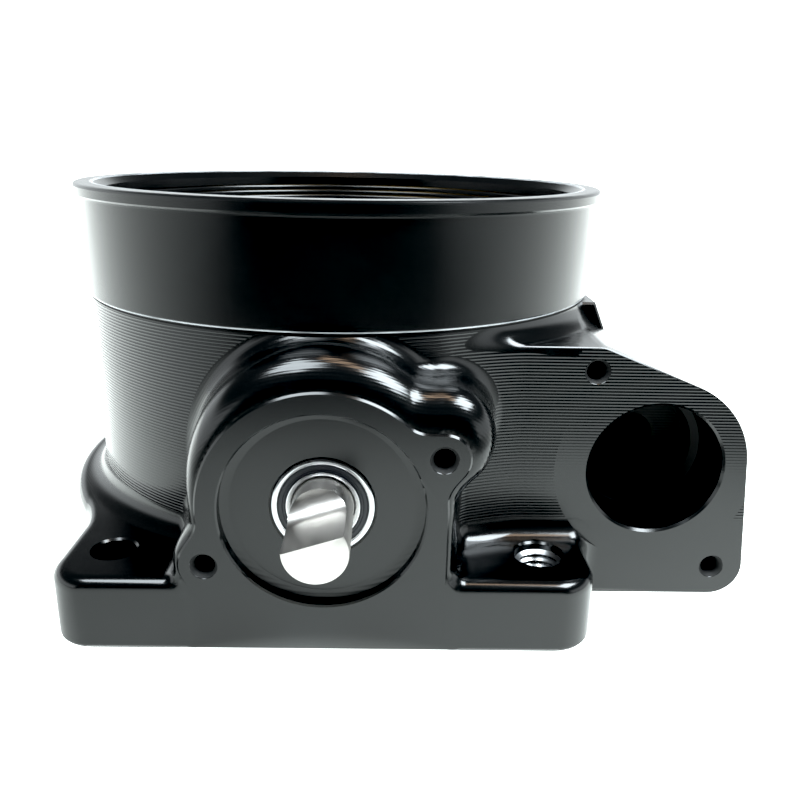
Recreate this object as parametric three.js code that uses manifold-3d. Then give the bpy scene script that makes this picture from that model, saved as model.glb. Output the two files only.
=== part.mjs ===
// Billet throttle body with a cable-driven butterfly, standing on its mounting flange.
// Millimetres. +Z is up, along the air bore. +Y runs along the throttle shaft, from the
// position-sensor side (front, -Y) to the lever side (rear, +Y). +X is the idle-valve side.
import * as THREE from 'three';
import { mergeVertices } from 'three/addons/utils/BufferGeometryUtils.js';
import Module from 'manifold-3d';

const wasm = await Module();
wasm.setup();

// ---------------------------------------------------------------- driving dimensions
// Air bore and inlet tube
const BODY_HEIGHT = 69;            // flange face to inlet rim
const BORE_D = 92;
const BORE_LEAD_IN = 1.4;          // chamfer at the inlet mouth
const RIM_HEIGHT = 2.2;
const RIM_EDGE = 0.45;             // edge breaks on the bead
const TUBE_WALL = 3.8;
const TUBE_D = BORE_D + 2 * TUBE_WALL;
const RIM_PROUD = 1;               // hose bead beyond the tube
const RIM_D = TUBE_D + 2 * RIM_PROUD;
const TUBE_BOTTOM_Z = 49.7;        // shoulder between the turned tube and the milled wall
const LOWER_WALL = 3.5;            // milled wall below the shoulder
const WALL_D = BORE_D + 2 * LOWER_WALL;
const STEP_CHAMFER = 0.5;
// Flange
const FLANGE_T = 12;
const GASKET_LAND = 9.5;           // round land around the bore
const BASE_D = BORE_D + 2 * GASKET_LAND;
const FOOT_DEPTH = 43.3;           // each foot pad, along the shaft
const FOOT_WIDTH = 87.2;           // across both feet at one end
const FACE_STANDOFF = 9.1;         // sensor face beyond the milled wall
const FLANGE_LENGTH = WALL_D + 2 * FACE_STANDOFF;
const FOOT_CORNER_R = 7;
const FOOT_EDGE_R = 2;
const WALL_COVE_R = 4;             // concave blend from the wall down to the feet
const BOLT_EDGE_X = 8.4;           // bolt centre in from the feet's sides
const BOLT_EDGE_Y = 10.3;          // and in from their ends
const BOLT_SPACING_X = FOOT_WIDTH - 2 * BOLT_EDGE_X;
const BOLT_SPACING_Y = FLANGE_LENGTH - 2 * BOLT_EDGE_Y;
const BOLT_HOLE_D = 7;
const INSERT_HOLE_D = 8;
// Throttle shaft and its bosses
const SHAFT_Z = 23.8;
const SHAFT_D = 9.525;
const SHAFT_BORE_CLEARANCE = 0.5;  // radial, between the bearings and the air bore
const SENSOR_RECESS_D = 31.4;
const SENSOR_RECESS_DEPTH = 2.5;
const SENSOR_LAND = 3.5;           // flat face around the recess
const BOSS_R = SENSOR_RECESS_D / 2 + SENSOR_LAND;
const BOSS_SIDE_INSET = 0.5;       // straight sides of the sensor face below the shaft
const BOSS_ROOT = 12;              // how far the bosses run in behind the wall's crown
const BOSS_SHOULDER = 6.4;         // depth of the rounded shoulder behind the sensor face
const BOSS_SHOULDER_RISE = 4.1;    // how far the shoulder's centre climbs towards the wall
const BOSS_SHOULDER_GROW = 2.4;
const SENSOR_SCREW_OFFSET = 4.55;  // screw centres out from the recess
const SENSOR_SCREW_R = SENSOR_RECESS_D / 2 + SENSOR_SCREW_OFFSET;
const SENSOR_SCREW_ANGLE = 26.3;   // degrees above the horizontal
const SENSOR_EAR_R = 4.1;
const SENSOR_EAR_SHOULDER = 5.1;
const SENSOR_EAR_BREAK = 0.6;      // small edge round on the lower ear
const TAP_D = 3.4;
const TAP_CHAMFER_D = 4.3;
const TAP_DEPTH = 10;
const TANG_LENGTH = 11.9;          // shaft end standing out of the sensor face
const TANG_FLAT_LENGTH = 7.6;
const TANG_FLAT_HEIGHT = 1.33;     // flat above the shaft's centre
const TANG_FLAT_ANGLE = 17.8;      // degrees, rising towards +X
const TANG_RUNOUT_R = 3.2;         // end-mill radius at the root of the flat
// Bearings, two sealed ball bearings
const BEARING_OD = 15.875;
const BEARING_W = 3.967;
const BALL_D = 1.588;
const BALL_COUNT = 10;
const BALL_CLEARANCE = 0.1;        // ball to its groove
const RING_SPACE = 1.225;          // between the inner and outer rings
const RING_CHAMFER = 0.3;
const CAGE_T = 0.44;
const CAGE_W = 0.88;
const SEAL_T = 0.3;
// Idle valve block
const VALVE_FACE_SETBACK = 7.75;   // block's face in from the milled wall's crown
const VALVE_FACE_Y = WALL_D / 2 - VALVE_FACE_SETBACK;
const VALVE_OFFSET_X = 6;          // valve bore axis out from the milled wall
const VALVE_X = WALL_D / 2 + VALVE_OFFSET_X;
const VALVE_BORE_D = 23;
const VALVE_BORE_DEPTH = 17;
const VALVE_LAND = 4.2;            // outline around the valve bore
const VALVE_BOSS_R = VALVE_BORE_D / 2 + VALVE_LAND;
const VALVE_RELIEF_STEP = 1.5;
const VALVE_RELIEF_R = VALVE_BOSS_R + VALVE_RELIEF_STEP;
const VALVE_BLOCK_DEPTH = 26;
const VALVE_UPPER_EAR_R = 4.1;
const VALVE_LOWER_EAR_R = 5.4;
const VALVE_SCREW_OFFSET = 9.9;    // screw centres out from the valve bore's wall
const VALVE_SCREW_R = VALVE_BORE_D / 2 + VALVE_SCREW_OFFSET;
const VALVE_SCREW_ANGLE = 123.6;   // degrees from +X, upper screw
const VALVE_SCREW_RISE = VALVE_SCREW_R * Math.sin((VALVE_SCREW_ANGLE * Math.PI) / 180);
const VALVE_SCREW_SHIFT_X = 0.35;  // middle of the screw pair from the valve bore axis
const VALVE_SCREW_SHIFT_Z = -0.7;
const VALVE_BLOCK_BOTTOM_Z = 0.8;  // clear of the gasket face
const VALVE_PAIR_Z = VALVE_BLOCK_BOTTOM_Z + VALVE_LOWER_EAR_R + VALVE_SCREW_RISE;
const VALVE_Z = VALVE_PAIR_Z - VALVE_SCREW_SHIFT_Z;
const VALVE_BLOCK_TOP_Z = VALVE_PAIR_Z + VALVE_SCREW_RISE + VALVE_UPPER_EAR_R;
const VALVE_TOP_COVE_R = 3.8;
const VALVE_SEAT_D = 9;
const BYPASS_D = 7;
const LOWER_PASSAGE_ANGLE = 135;   // degrees from straight up, down towards the air bore
const POCKET_DEPTH = 5.4;          // relief beside the foot, behind the block's face
const POCKET_STEP = 0.5;           // pocket floor below the foot's rounded edge
const GUSSET_T = 8;
const GUSSET_REACH = 8;            // gusset's foot beyond the round base
// Butterfly
const BLADE_T = 2;
const BLADE_CLEARANCE = 0.12;      // radial, blade edge to bore
const BLADE_CLOSED_ANGLE = 5;      // degrees from square to the bore
const BLADE_SCREW_SPACING = 32;
const BLADE_SCREW_D = 4;
const BLADE_SCREW_HEAD_D = 7;
const BLADE_SCREW_HEAD_H = 2;
const BLADE_SCREW_SEAT_DEPTH = 0.9;
const BLADE_SCREW_POINT = 0.3;     // chamfer at the screw's end
const BLADE_SCREW_SOCKET_R = 1.45;
const SPOT_FACE_CLEARANCE = 0.4;
const SLOT_CLEARANCE = 0.05;
// Lever side
const REAR_FACE_STANDOFF = 6.6;    // rear boss face beyond the milled wall
const REAR_FACE_Y = WALL_D / 2 + REAR_FACE_STANDOFF;
const REAR_BOSS_WALL = 7;          // around the rear bearing
const REAR_BOSS_R = BEARING_OD / 2 + REAR_BOSS_WALL;
const REAR_BOSS_SHOULDER = 4;
const LEVER_T = 3;
const LEVER_HUB_R = 10;
const LEVER_FLAT_DEPTH = 1.25;     // each flat of the shaft's rear end
const LEVER_FLATS = SHAFT_D - 2 * LEVER_FLAT_DEPTH;
const QUADRANT_R = 21.5;
const QUADRANT_W = 6;
const QUADRANT_START = 12;         // degrees from +X
const QUADRANT_END = 172;
const QUADRANT_GROOVE_R = 19;
const QUADRANT_GROOVE_W = 3.2;
const QUADRANT_RIM_R = 15.5;
const BARREL_D = 5.2;
const BARREL_INSET = 12;           // degrees in from the quadrant's end
const WINDOW_COUNT = 3;
const WINDOW_D = 4.2;
const THREAD_STEP = 0.75;          // thread below the shaft's surface
const THREAD_D = SHAFT_D - 2 * THREAD_STEP;
const THREAD_LENGTH = 9;
const WASHER_T = 1.4;
const WASHER_RIM = 4;
const WASHER_OD = THREAD_D + 2 * WASHER_RIM;
const NUT_WALL = 2.5;
const NUT_AF = THREAD_D + 2 * NUT_WALL;
const NUT_T = 5;
const BUSHING_WALL = 2.74;
const BUSHING_OD = SHAFT_D + 2 * BUSHING_WALL;
const SPRING_WIRE_D = 1.6;
const SPRING_CLEARANCE = 1.1;      // coil to bushing
const SPRING_MEAN_R = (BUSHING_OD + SPRING_WIRE_D) / 2 + SPRING_CLEARANCE;
const SPRING_TURNS = 3.4;
const SPRING_PITCH = 2;
const ANCHOR_D = 3;
const ANCHOR_CLEARANCE = 0.7;      // pin to coil
const ANCHOR_R = SPRING_MEAN_R + (SPRING_WIRE_D + ANCHOR_D) / 2 + ANCHOR_CLEARANCE;
const ANCHOR_ANGLE = -52;
const STOP_SCREW_D = 5;
const STOP_SCREW_X = -19.5;
const STOP_SCREW_DROP = 8.4;       // top of the stop screw below the shaft axis
const STOP_SCREW_TOP_Z = SHAFT_Z - STOP_SCREW_DROP;
const STOP_SCREW_LENGTH = 13.6;
const STOP_SOCKET_R = 1.45;
const STOP_LUG_T = 6;
const STOP_LUG_BOTTOM_Z = 2.6;
const STOP_NUT_AF = 8;
const STOP_NUT_T = 2.7;
// Wire thread insert
const INSERT_ID = 6.6;
const INSERT_PITCH = 1.25;
const INSERT_WIRE = 0.45;          // how far each turn stands in from the sleeve
const INSERT_SETBACK = 0.9;        // insert below the foot's face
// Fits
const FIT = 0.05;                  // gap between round pieces that seat in each other
const REST_GAP = 0.3;              // gap between faces that a neighbour cuts
const OVERRUN = 1;                 // how far cutting tools run past a face
// Rear boss face to lever, with room for the spring.
const LEVER_GAP = SPRING_TURNS * SPRING_PITCH + SPRING_WIRE_D + 2 * REST_GAP;
const BORE_SIDES = 64;
const BOSS_SIDES = 36;
const RING_SIDES = 32;
const SMALL_SIDES = 16;
const SHOULDER_STEPS = 4;

const halfLength = FLANGE_LENGTH / 2;
const frontFaceY = -halfLength;
const boreR = BORE_D / 2;
const wallR = WALL_D / 2;
const shaftR = SHAFT_D / 2;
const radians = Math.PI / 180;

// ---------------------------------------------------------------- shape helpers
// Closed geometry to a solid.
function solid(geometry) {
  const bare = geometry.index ? geometry.toNonIndexed() : geometry.clone();
  for (const name of Object.keys(bare.attributes)) {
    if (name !== 'position') bare.deleteAttribute(name);
  }
  const merged = mergeVertices(bare, 1e-4);
  return new wasm.Manifold(new wasm.Mesh({
    numProp: 3,
    vertProperties: new Float32Array(merged.attributes.position.array),
    triVerts: new Uint32Array(merged.index.array),
  }));
}

// Solid back to geometry.
function geometryOf(manifold) {
  const mesh = manifold.getMesh();
  const geometry = new THREE.BufferGeometry();
  geometry.setAttribute('position', new THREE.BufferAttribute(new Float32Array(mesh.vertProperties), 3));
  geometry.setIndex(new THREE.BufferAttribute(new Uint32Array(mesh.triVerts), 1));
  geometry.computeVertexNormals();
  return geometry;
}

// Cylinder or cone along an axis, starting at (x, y, z) and running `length` the positive way.
function rod(axis, x, y, z, r, length, sides = SMALL_SIDES, rEnd = r) {
  const geometry = new THREE.CylinderGeometry(rEnd, r, length, sides);
  geometry.translate(0, length / 2, 0);
  if (axis === 'z') geometry.rotateX(Math.PI / 2);
  if (axis === 'x') geometry.rotateZ(-Math.PI / 2);
  geometry.translate(x, y, z);
  return solid(geometry);
}

// Box from its low corner to its high corner.
function block(x0, y0, z0, x1, y1, z1) {
  const geometry = new THREE.BoxGeometry(x1 - x0, y1 - y0, z1 - z0);
  geometry.translate((x0 + x1) / 2, (y0 + y1) / 2, (z0 + z1) / 2);
  return solid(geometry);
}

// Turned solid about +Z from [radius, height] points, listed upwards on the outside.
function turned(profile, sides) {
  const geometry = new THREE.LatheGeometry(profile.map(([r, z]) => new THREE.Vector2(r, z)), sides);
  geometry.rotateX(Math.PI / 2);
  return solid(geometry);
}

// Turned solid about the shaft axis; each point is [radius, y].
function turnedOnShaft(profile, sides) {
  const geometry = new THREE.LatheGeometry(profile.map(([r, y]) => new THREE.Vector2(r, y)), sides);
  geometry.translate(0, 0, SHAFT_Z);
  return solid(geometry);
}

// Outline in the XZ plane, extruded from y0 to y1.
function plate(points, y0, y1) {
  const shape = new THREE.Shape(points.map(([x, z]) => new THREE.Vector2(x, z)));
  const geometry = new THREE.ExtrudeGeometry(shape, { depth: y1 - y0, bevelEnabled: false });
  geometry.rotateX(Math.PI / 2);
  geometry.translate(0, y1, 0);
  return solid(geometry);
}

// Outline in the YZ plane, extruded from x0 to x1.
function rib(points, x0, x1) {
  const shape = new THREE.Shape(points.map(([y, z]) => new THREE.Vector2(y, z)));
  const geometry = new THREE.ExtrudeGeometry(shape, { depth: x1 - x0, bevelEnabled: false });
  geometry.rotateX(Math.PI / 2);
  geometry.rotateZ(Math.PI / 2);
  geometry.translate(x0, 0, 0);
  return solid(geometry);
}

// Points of an arc, both ends included.
function arc(cx, cy, r, from, to, steps) {
  const points = [];
  for (let i = 0; i <= steps; i += 1) {
    const a = (from + ((to - from) * i) / steps) * radians;
    points.push([cx + r * Math.cos(a), cy + r * Math.sin(a)]);
  }
  return points;
}

// Convex outline around a set of points, by the monotone chain.
function outlineAround(points) {
  const sorted = [...points].sort((a, b) => a[0] - b[0] || a[1] - b[1]);
  const turn = (o, a, b) => (a[0] - o[0]) * (b[1] - o[1]) - (a[1] - o[1]) * (b[0] - o[0]);
  const half = (list) => {
    const chain = [];
    for (const p of list) {
      while (chain.length > 1 && turn(chain[chain.length - 2], chain[chain.length - 1], p) <= 1e-6) {
        chain.pop();
      }
      chain.push(p);
    }
    chain.pop();
    return chain;
  };
  return [...half(sorted), ...half(sorted.reverse())];
}

// Solid skinned over circles that lie in planes of constant y: each is {x, z, r, y}.
function skinned(circles, sides) {
  const positions = [];
  const index = [];
  for (const c of circles) {
    for (let i = 0; i < sides; i += 1) {
      const a = (i / sides) * 2 * Math.PI;
      positions.push(c.x + c.r * Math.cos(a), c.y, c.z + c.r * Math.sin(a));
    }
  }
  for (let k = 0; k < circles.length - 1; k += 1) {
    for (let i = 0; i < sides; i += 1) {
      const a = k * sides + i;
      const b = k * sides + ((i + 1) % sides);
      index.push(a, a + sides, b, b, a + sides, b + sides);
    }
  }
  const first = positions.length / 3;
  const last = first + 1;
  const end = circles[circles.length - 1];
  positions.push(circles[0].x, circles[0].y, circles[0].z, end.x, end.y, end.z);
  const lastRing = (circles.length - 1) * sides;
  for (let i = 0; i < sides; i += 1) {
    const j = (i + 1) % sides;
    index.push(first, i, j, last, lastRing + j, lastRing + i);
  }
  const geometry = new THREE.BufferGeometry();
  geometry.setAttribute('position', new THREE.Float32BufferAttribute(positions, 3));
  geometry.setIndex(index);
  return solid(geometry);
}

// Rounded shoulder: grows from a face circle back to a larger, shifted circle, then runs straight.
function shoulder(x, z, r, grow, rise, depth, faceY, backY, sides) {
  const way = Math.sign(backY - faceY);
  const circles = [];
  for (let i = 0; i <= SHOULDER_STEPS; i += 1) {
    const a = ((i / SHOULDER_STEPS) * Math.PI) / 2;
    circles.push({
      x,
      z: z + rise * Math.sin(a),
      r: r + grow * Math.sin(a),
      y: faceY + way * depth * (1 - Math.cos(a)),
    });
  }
  circles.push({ ...circles[SHOULDER_STEPS], y: backY });
  return skinned(way > 0 ? circles : circles.reverse(), sides);
}

// Hexagon nut along an axis, with a round hole.
function nutAlong(axis, x, y, z, acrossFlats, thickness, holeR) {
  const outer = rod(axis, x, y, z, acrossFlats / Math.sqrt(3), thickness, 6);
  const start = axis === 'y' ? [x, y - OVERRUN, z] : [x, y, z - OVERRUN];
  return outer.subtract(rod(axis, ...start, holeR, thickness + 2 * OVERRUN, SMALL_SIDES));
}

const pieces = [];
function piece(name, manifold, color, roughness, metalness) {
  const material = new THREE.MeshStandardMaterial({ color, roughness, metalness });
  const mesh = new THREE.Mesh(geometryOf(manifold), material);
  mesh.name = name;
  pieces.push(mesh);
}

// ---------------------------------------------------------------- housing
const rimBottomZ = BODY_HEIGHT - RIM_HEIGHT;
const tubeR = TUBE_D / 2;
const rimR = RIM_D / 2;
const baseR = BASE_D / 2;
const coveFootR = wallR + WALL_COVE_R;

const barrelProfile = [
  [0, 0],
  [baseR, 0],
  ...arc(baseR - FOOT_EDGE_R, FLANGE_T - FOOT_EDGE_R, FOOT_EDGE_R, 0, 90, 3),
  ...arc(coveFootR, FLANGE_T + WALL_COVE_R, WALL_COVE_R, 270, 180, 4),
  [wallR, TUBE_BOTTOM_Z - STEP_CHAMFER],
  [tubeR, TUBE_BOTTOM_Z],
  [tubeR, rimBottomZ],
  [rimR, rimBottomZ],
  [rimR, BODY_HEIGHT - RIM_EDGE],
  [rimR - RIM_EDGE, BODY_HEIGHT],
  [0, BODY_HEIGHT],
];
let housing = turned(barrelProfile, BORE_SIDES);

// Feet: one pad with rounded corners and edges at each end of the flange.
function foot(y0, y1) {
  const halfX = FOOT_WIDTH / 2 - FOOT_EDGE_R;
  const inner0 = y0 + FOOT_EDGE_R;
  const inner1 = y1 - FOOT_EDGE_R;
  const cornerR = FOOT_CORNER_R - FOOT_EDGE_R;
  const outline = [
    ...arc(halfX - cornerR, inner0 + cornerR, cornerR, -90, 0, 4),
    ...arc(halfX - cornerR, inner1 - cornerR, cornerR, 0, 90, 4),
    ...arc(-halfX + cornerR, inner1 - cornerR, cornerR, 90, 180, 4),
    ...arc(-halfX + cornerR, inner0 + cornerR, cornerR, 180, 270, 4),
  ];
  const shape = new THREE.Shape(outline.map(([x, y]) => new THREE.Vector2(x, y)));
  const geometry = new THREE.ExtrudeGeometry(shape, {
    depth: FLANGE_T,
    bevelEnabled: true,
    bevelThickness: FOOT_EDGE_R,
    bevelSize: FOOT_EDGE_R,
    bevelSegments: 3,
  });
  geometry.translate(0, 0, -FOOT_EDGE_R);
  const lower = block(-FOOT_WIDTH, y0 - OVERRUN, -2 * FLANGE_T, FOOT_WIDTH, y1 + OVERRUN, 0);
  return solid(geometry).subtract(lower);
}
housing = housing.add(foot(frontFaceY, frontFaceY + FOOT_DEPTH));
housing = housing.add(foot(halfLength - FOOT_DEPTH, halfLength));

// Sensor boss: round face with a shoulder that climbs the wall, straight sides down to the flange.
const bossBackY = -wallR + BOSS_ROOT;
const bossSideX = BOSS_R - BOSS_SIDE_INSET;
housing = housing.add(shoulder(0, SHAFT_Z, BOSS_R, BOSS_SHOULDER_GROW, BOSS_SHOULDER_RISE,
  BOSS_SHOULDER, frontFaceY, bossBackY, BOSS_SIDES));
housing = housing.add(block(-bossSideX, frontFaceY, 0, bossSideX, bossBackY, SHAFT_Z));
const sensorScrews = [1, -1].map((side) => [
  side * SENSOR_SCREW_R * Math.cos(SENSOR_SCREW_ANGLE * radians),
  SHAFT_Z + side * SENSOR_SCREW_R * Math.sin(SENSOR_SCREW_ANGLE * radians),
]);
housing = housing.add(shoulder(sensorScrews[0][0], sensorScrews[0][1], SENSOR_EAR_R, SENSOR_EAR_R,
  BOSS_SHOULDER_RISE / 2, SENSOR_EAR_SHOULDER, frontFaceY, bossBackY, RING_SIDES));
housing = housing.add(shoulder(sensorScrews[1][0], sensorScrews[1][1], SENSOR_EAR_R,
  SENSOR_EAR_BREAK, 0, SENSOR_EAR_BREAK, frontFaceY, bossBackY, RING_SIDES));

// Rear boss for the lever-side bearing.
housing = housing.add(shoulder(0, SHAFT_Z, REAR_BOSS_R, REAR_BOSS_SHOULDER, REAR_BOSS_SHOULDER / 2,
  REAR_BOSS_SHOULDER, REAR_FACE_Y, wallR - BOSS_ROOT, BOSS_SIDES));

// Idle valve block with two screw ears, on the +X side.
const valveFaceY = -VALVE_FACE_Y;
const valveBackY = valveFaceY + VALVE_BLOCK_DEPTH;
const valveScrews = [1, -1].map((side) => [
  VALVE_X + VALVE_SCREW_SHIFT_X + side * VALVE_SCREW_R * Math.cos(VALVE_SCREW_ANGLE * radians),
  VALVE_PAIR_Z + side * VALVE_SCREW_RISE,
]);
const blockInnerX = Math.sqrt(wallR * wallR - VALVE_FACE_Y * VALVE_FACE_Y);
const blockOutline = outlineAround([
  [blockInnerX, VALVE_BLOCK_BOTTOM_Z],
  [blockInnerX, VALVE_BLOCK_TOP_Z],
  [valveScrews[0][0], VALVE_BLOCK_TOP_Z],
  ...arc(valveScrews[0][0], VALVE_BLOCK_TOP_Z - VALVE_UPPER_EAR_R, VALVE_UPPER_EAR_R, 0, 90, 6),
  ...arc(VALVE_X, VALVE_Z, VALVE_BOSS_R, -30, 90, 20),
  ...arc(valveScrews[1][0], VALVE_BLOCK_BOTTOM_Z + VALVE_LOWER_EAR_R, VALVE_LOWER_EAR_R, -90, 10, 8),
]);
housing = housing.add(plate(blockOutline, valveFaceY, valveBackY));

// Concave blends: foot pad up to the block's face, and tube down to the block's top.
const padCove = [
  [valveFaceY - WALL_COVE_R, FLANGE_T],
  ...arc(valveFaceY - WALL_COVE_R, FLANGE_T + WALL_COVE_R, WALL_COVE_R, 270, 360, 4),
  [valveFaceY + OVERRUN, FLANGE_T + WALL_COVE_R],
  [valveFaceY + OVERRUN, FLANGE_T],
];
housing = housing.add(rib(padCove, blockInnerX, FOOT_WIDTH / 2 - FOOT_EDGE_R));
const topCove = turned([
  [wallR - OVERRUN, VALVE_BLOCK_TOP_Z - OVERRUN],
  [wallR + VALVE_TOP_COVE_R, VALVE_BLOCK_TOP_Z - OVERRUN],
  ...arc(wallR + VALVE_TOP_COVE_R, VALVE_BLOCK_TOP_Z + VALVE_TOP_COVE_R, VALVE_TOP_COVE_R, 270, 180, 4),
  [wallR - OVERRUN, VALVE_BLOCK_TOP_Z + VALVE_TOP_COVE_R],
  [wallR - OVERRUN, VALVE_BLOCK_TOP_Z - OVERRUN],
], BORE_SIDES);
housing = housing.add(topCove.intersect(
  block(blockInnerX, valveFaceY, VALVE_BLOCK_TOP_Z - 2 * OVERRUN, rimR, valveBackY, BODY_HEIGHT)));

// Gusset that stiffens the block from behind.
housing = housing.add(plate([
  [boreR + OVERRUN, FLANGE_T / 2],
  [baseR + GUSSET_REACH, FLANGE_T / 2],
  [baseR + GUSSET_REACH / 2, SHAFT_Z],
  [wallR - OVERRUN, TUBE_BOTTOM_Z - STEP_CHAMFER],
  [boreR + OVERRUN, TUBE_BOTTOM_Z - STEP_CHAMFER],
], valveBackY - OVERRUN, valveBackY + GUSSET_T));

// Lug for the idle stop screw, reaching out from the rear foot under the lever.
const leverY = REAR_FACE_Y + LEVER_GAP;
const stopY = leverY + LEVER_T / 2;
const lugHalf = STOP_SCREW_D;
const lugTopZ = STOP_LUG_BOTTOM_Z + STOP_LUG_T;
housing = housing.add(block(STOP_SCREW_X - lugHalf, halfLength - FOOT_CORNER_R, STOP_LUG_BOTTOM_Z,
  STOP_SCREW_X + lugHalf, stopY, lugTopZ));
housing = housing.add(rod('z', STOP_SCREW_X, stopY, STOP_LUG_BOTTOM_Z, lugHalf, STOP_LUG_T));

// Cuts: air bore with its lead-in.
const boreCut = turned([
  [0, -OVERRUN],
  [boreR, -OVERRUN],
  [boreR, BODY_HEIGHT - BORE_LEAD_IN],
  [boreR + BORE_LEAD_IN + OVERRUN, BODY_HEIGHT + OVERRUN],
  [0, BODY_HEIGHT + OVERRUN],
], BORE_SIDES);
housing = housing.subtract(boreCut);

// Sensor recess, bearing seats and shaft bore.
const recessFloorY = frontFaceY + SENSOR_RECESS_DEPTH;
const bearingR = BEARING_OD / 2;
const seatDepth = BEARING_W + 2 * FIT;
const frontSeatY = recessFloorY;
const rearSeatY = REAR_FACE_Y - seatDepth;
housing = housing.subtract(rod('y', 0, frontFaceY - OVERRUN, SHAFT_Z, SENSOR_RECESS_D / 2,
  SENSOR_RECESS_DEPTH + OVERRUN, BOSS_SIDES));
housing = housing.subtract(rod('y', 0, frontSeatY - OVERRUN, SHAFT_Z, bearingR + FIT,
  seatDepth + OVERRUN, RING_SIDES));
housing = housing.subtract(rod('y', 0, rearSeatY, SHAFT_Z, bearingR + FIT,
  seatDepth + OVERRUN, RING_SIDES));
housing = housing.subtract(rod('y', 0, frontFaceY, SHAFT_Z, shaftR + SHAFT_BORE_CLEARANCE,
  REAR_FACE_Y - frontFaceY, RING_SIDES));

// Tapped holes for the sensor and the idle valve.
for (const [x, z] of sensorScrews) {
  housing = housing.subtract(rod('y', x, frontFaceY - OVERRUN, z, TAP_D / 2, TAP_DEPTH + OVERRUN));
  housing = housing.subtract(rod('y', x, frontFaceY, z, TAP_CHAMFER_D / 2,
    (TAP_CHAMFER_D - TAP_D) / 2, SMALL_SIDES, TAP_D / 2));
}
for (const [x, z] of valveScrews) {
  housing = housing.subtract(rod('y', x, valveFaceY - OVERRUN, z, TAP_D / 2, TAP_DEPTH + OVERRUN));
  housing = housing.subtract(rod('y', x, valveFaceY, z, TAP_CHAMFER_D / 2,
    (TAP_CHAMFER_D - TAP_D) / 2, SMALL_SIDES, TAP_D / 2));
}

// Idle valve bore, its seat, and the bypass passages to the air bore above and below the blade.
housing = housing.subtract(rod('y', VALVE_X, valveFaceY - OVERRUN, VALVE_Z, VALVE_BORE_D / 2,
  VALVE_BORE_DEPTH + OVERRUN, BOSS_SIDES));
const seatEndY = valveFaceY + VALVE_BORE_DEPTH + VALVE_SEAT_D / 2;
housing = housing.subtract(rod('y', VALVE_X, valveFaceY, VALVE_Z, VALVE_SEAT_D / 2,
  seatEndY - valveFaceY, SMALL_SIDES));
const upperPassageY = valveFaceY + VALVE_BORE_DEPTH / 2;
const upperPassageZ = VALVE_Z + VALVE_BORE_D / 2 - BYPASS_D / 2;
housing = housing.subtract(rod('x', boreR / 2, upperPassageY, upperPassageZ, BYPASS_D / 2,
  VALVE_X - boreR / 2, SMALL_SIDES));
const lowerPassageLength = (VALVE_X - boreR / 2) * Math.SQRT1_2;
const lowerPassage = new THREE.CylinderGeometry(BYPASS_D / 2, BYPASS_D / 2, lowerPassageLength, SMALL_SIDES);
lowerPassage.rotateX(Math.PI / 2);
lowerPassage.translate(0, 0, lowerPassageLength / 2);
lowerPassage.rotateY(-LOWER_PASSAGE_ANGLE * radians);
lowerPassage.translate(VALVE_X, seatEndY - VALVE_SEAT_D / 2, VALVE_Z);
housing = housing.subtract(solid(lowerPassage));

// Pocket beside the right-hand foot, following the valve bore's outline.
const pocketFloorZ = FLANGE_T - FOOT_EDGE_R - POCKET_STEP;
const pocketRightX = VALVE_X - VALVE_BORE_D / 4;
const pocket = block(FOOT_WIDTH / 2 - FOOT_EDGE_R, valveFaceY - OVERRUN, pocketFloorZ,
  pocketRightX, valveFaceY + POCKET_DEPTH, VALVE_Z);
housing = housing.subtract(pocket.subtract(
  rod('y', VALVE_X, valveFaceY - 2 * OVERRUN, VALVE_Z, VALVE_RELIEF_R, VALVE_BLOCK_DEPTH, BOSS_SIDES)));

// Flange bolt holes; the one beside the idle valve is tapped for a wire insert.
const boltX = BOLT_SPACING_X / 2;
const boltY = BOLT_SPACING_Y / 2;
for (const sx of [-1, 1]) {
  for (const sy of [-1, 1]) {
    const tapped = sx === 1 && sy === -1;
    const holeR = (tapped ? INSERT_HOLE_D : BOLT_HOLE_D) / 2;
    housing = housing.subtract(rod('z', sx * boltX, sy * boltY, -OVERRUN, holeR,
      FLANGE_T + WALL_COVE_R + 4 * OVERRUN, SMALL_SIDES));
  }
}

// Holes for the stop screw and the spring's anchor pin.
housing = housing.subtract(rod('z', STOP_SCREW_X, stopY, STOP_LUG_BOTTOM_Z - OVERRUN,
  STOP_SCREW_D / 2 + FIT, STOP_LUG_T + 2 * OVERRUN));
const anchorX = ANCHOR_R * Math.cos(ANCHOR_ANGLE * radians);
const anchorZ = SHAFT_Z + ANCHOR_R * Math.sin(ANCHOR_ANGLE * radians);
const anchorDepth = 2 * ANCHOR_D;
housing = housing.subtract(rod('y', anchorX, REAR_FACE_Y - anchorDepth, anchorZ,
  ANCHOR_D / 2 + FIT, anchorDepth + OVERRUN));
piece('throttle_housing', housing, 0x17191b, 0.42, 0.6);

// Wire thread insert: a coil of diamond wire, drawn as a sleeve with thread grooves.
const insertProfile = [];
const insertTurns = Math.floor((FLANGE_T - 2 * INSERT_SETBACK) / INSERT_PITCH);
const insertTopZ = FLANGE_T - INSERT_SETBACK;
const insertBottomZ = insertTopZ - insertTurns * INSERT_PITCH;
const insertOuterR = INSERT_HOLE_D / 2 - FIT;
insertProfile.push([insertOuterR, insertBottomZ], [insertOuterR, insertTopZ]);
for (let i = 0; i < insertTurns; i += 1) {
  insertProfile.push([INSERT_ID / 2 + INSERT_WIRE, insertTopZ - i * INSERT_PITCH]);
  insertProfile.push([INSERT_ID / 2, insertTopZ - (i + 0.5) * INSERT_PITCH]);
}
insertProfile.push([INSERT_ID / 2 + INSERT_WIRE, insertBottomZ], [insertOuterR, insertBottomZ]);
const insertGeometry = new THREE.LatheGeometry(
  insertProfile.map(([r, z]) => new THREE.Vector2(r, z)), SMALL_SIDES);
insertGeometry.rotateX(Math.PI / 2);
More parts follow.
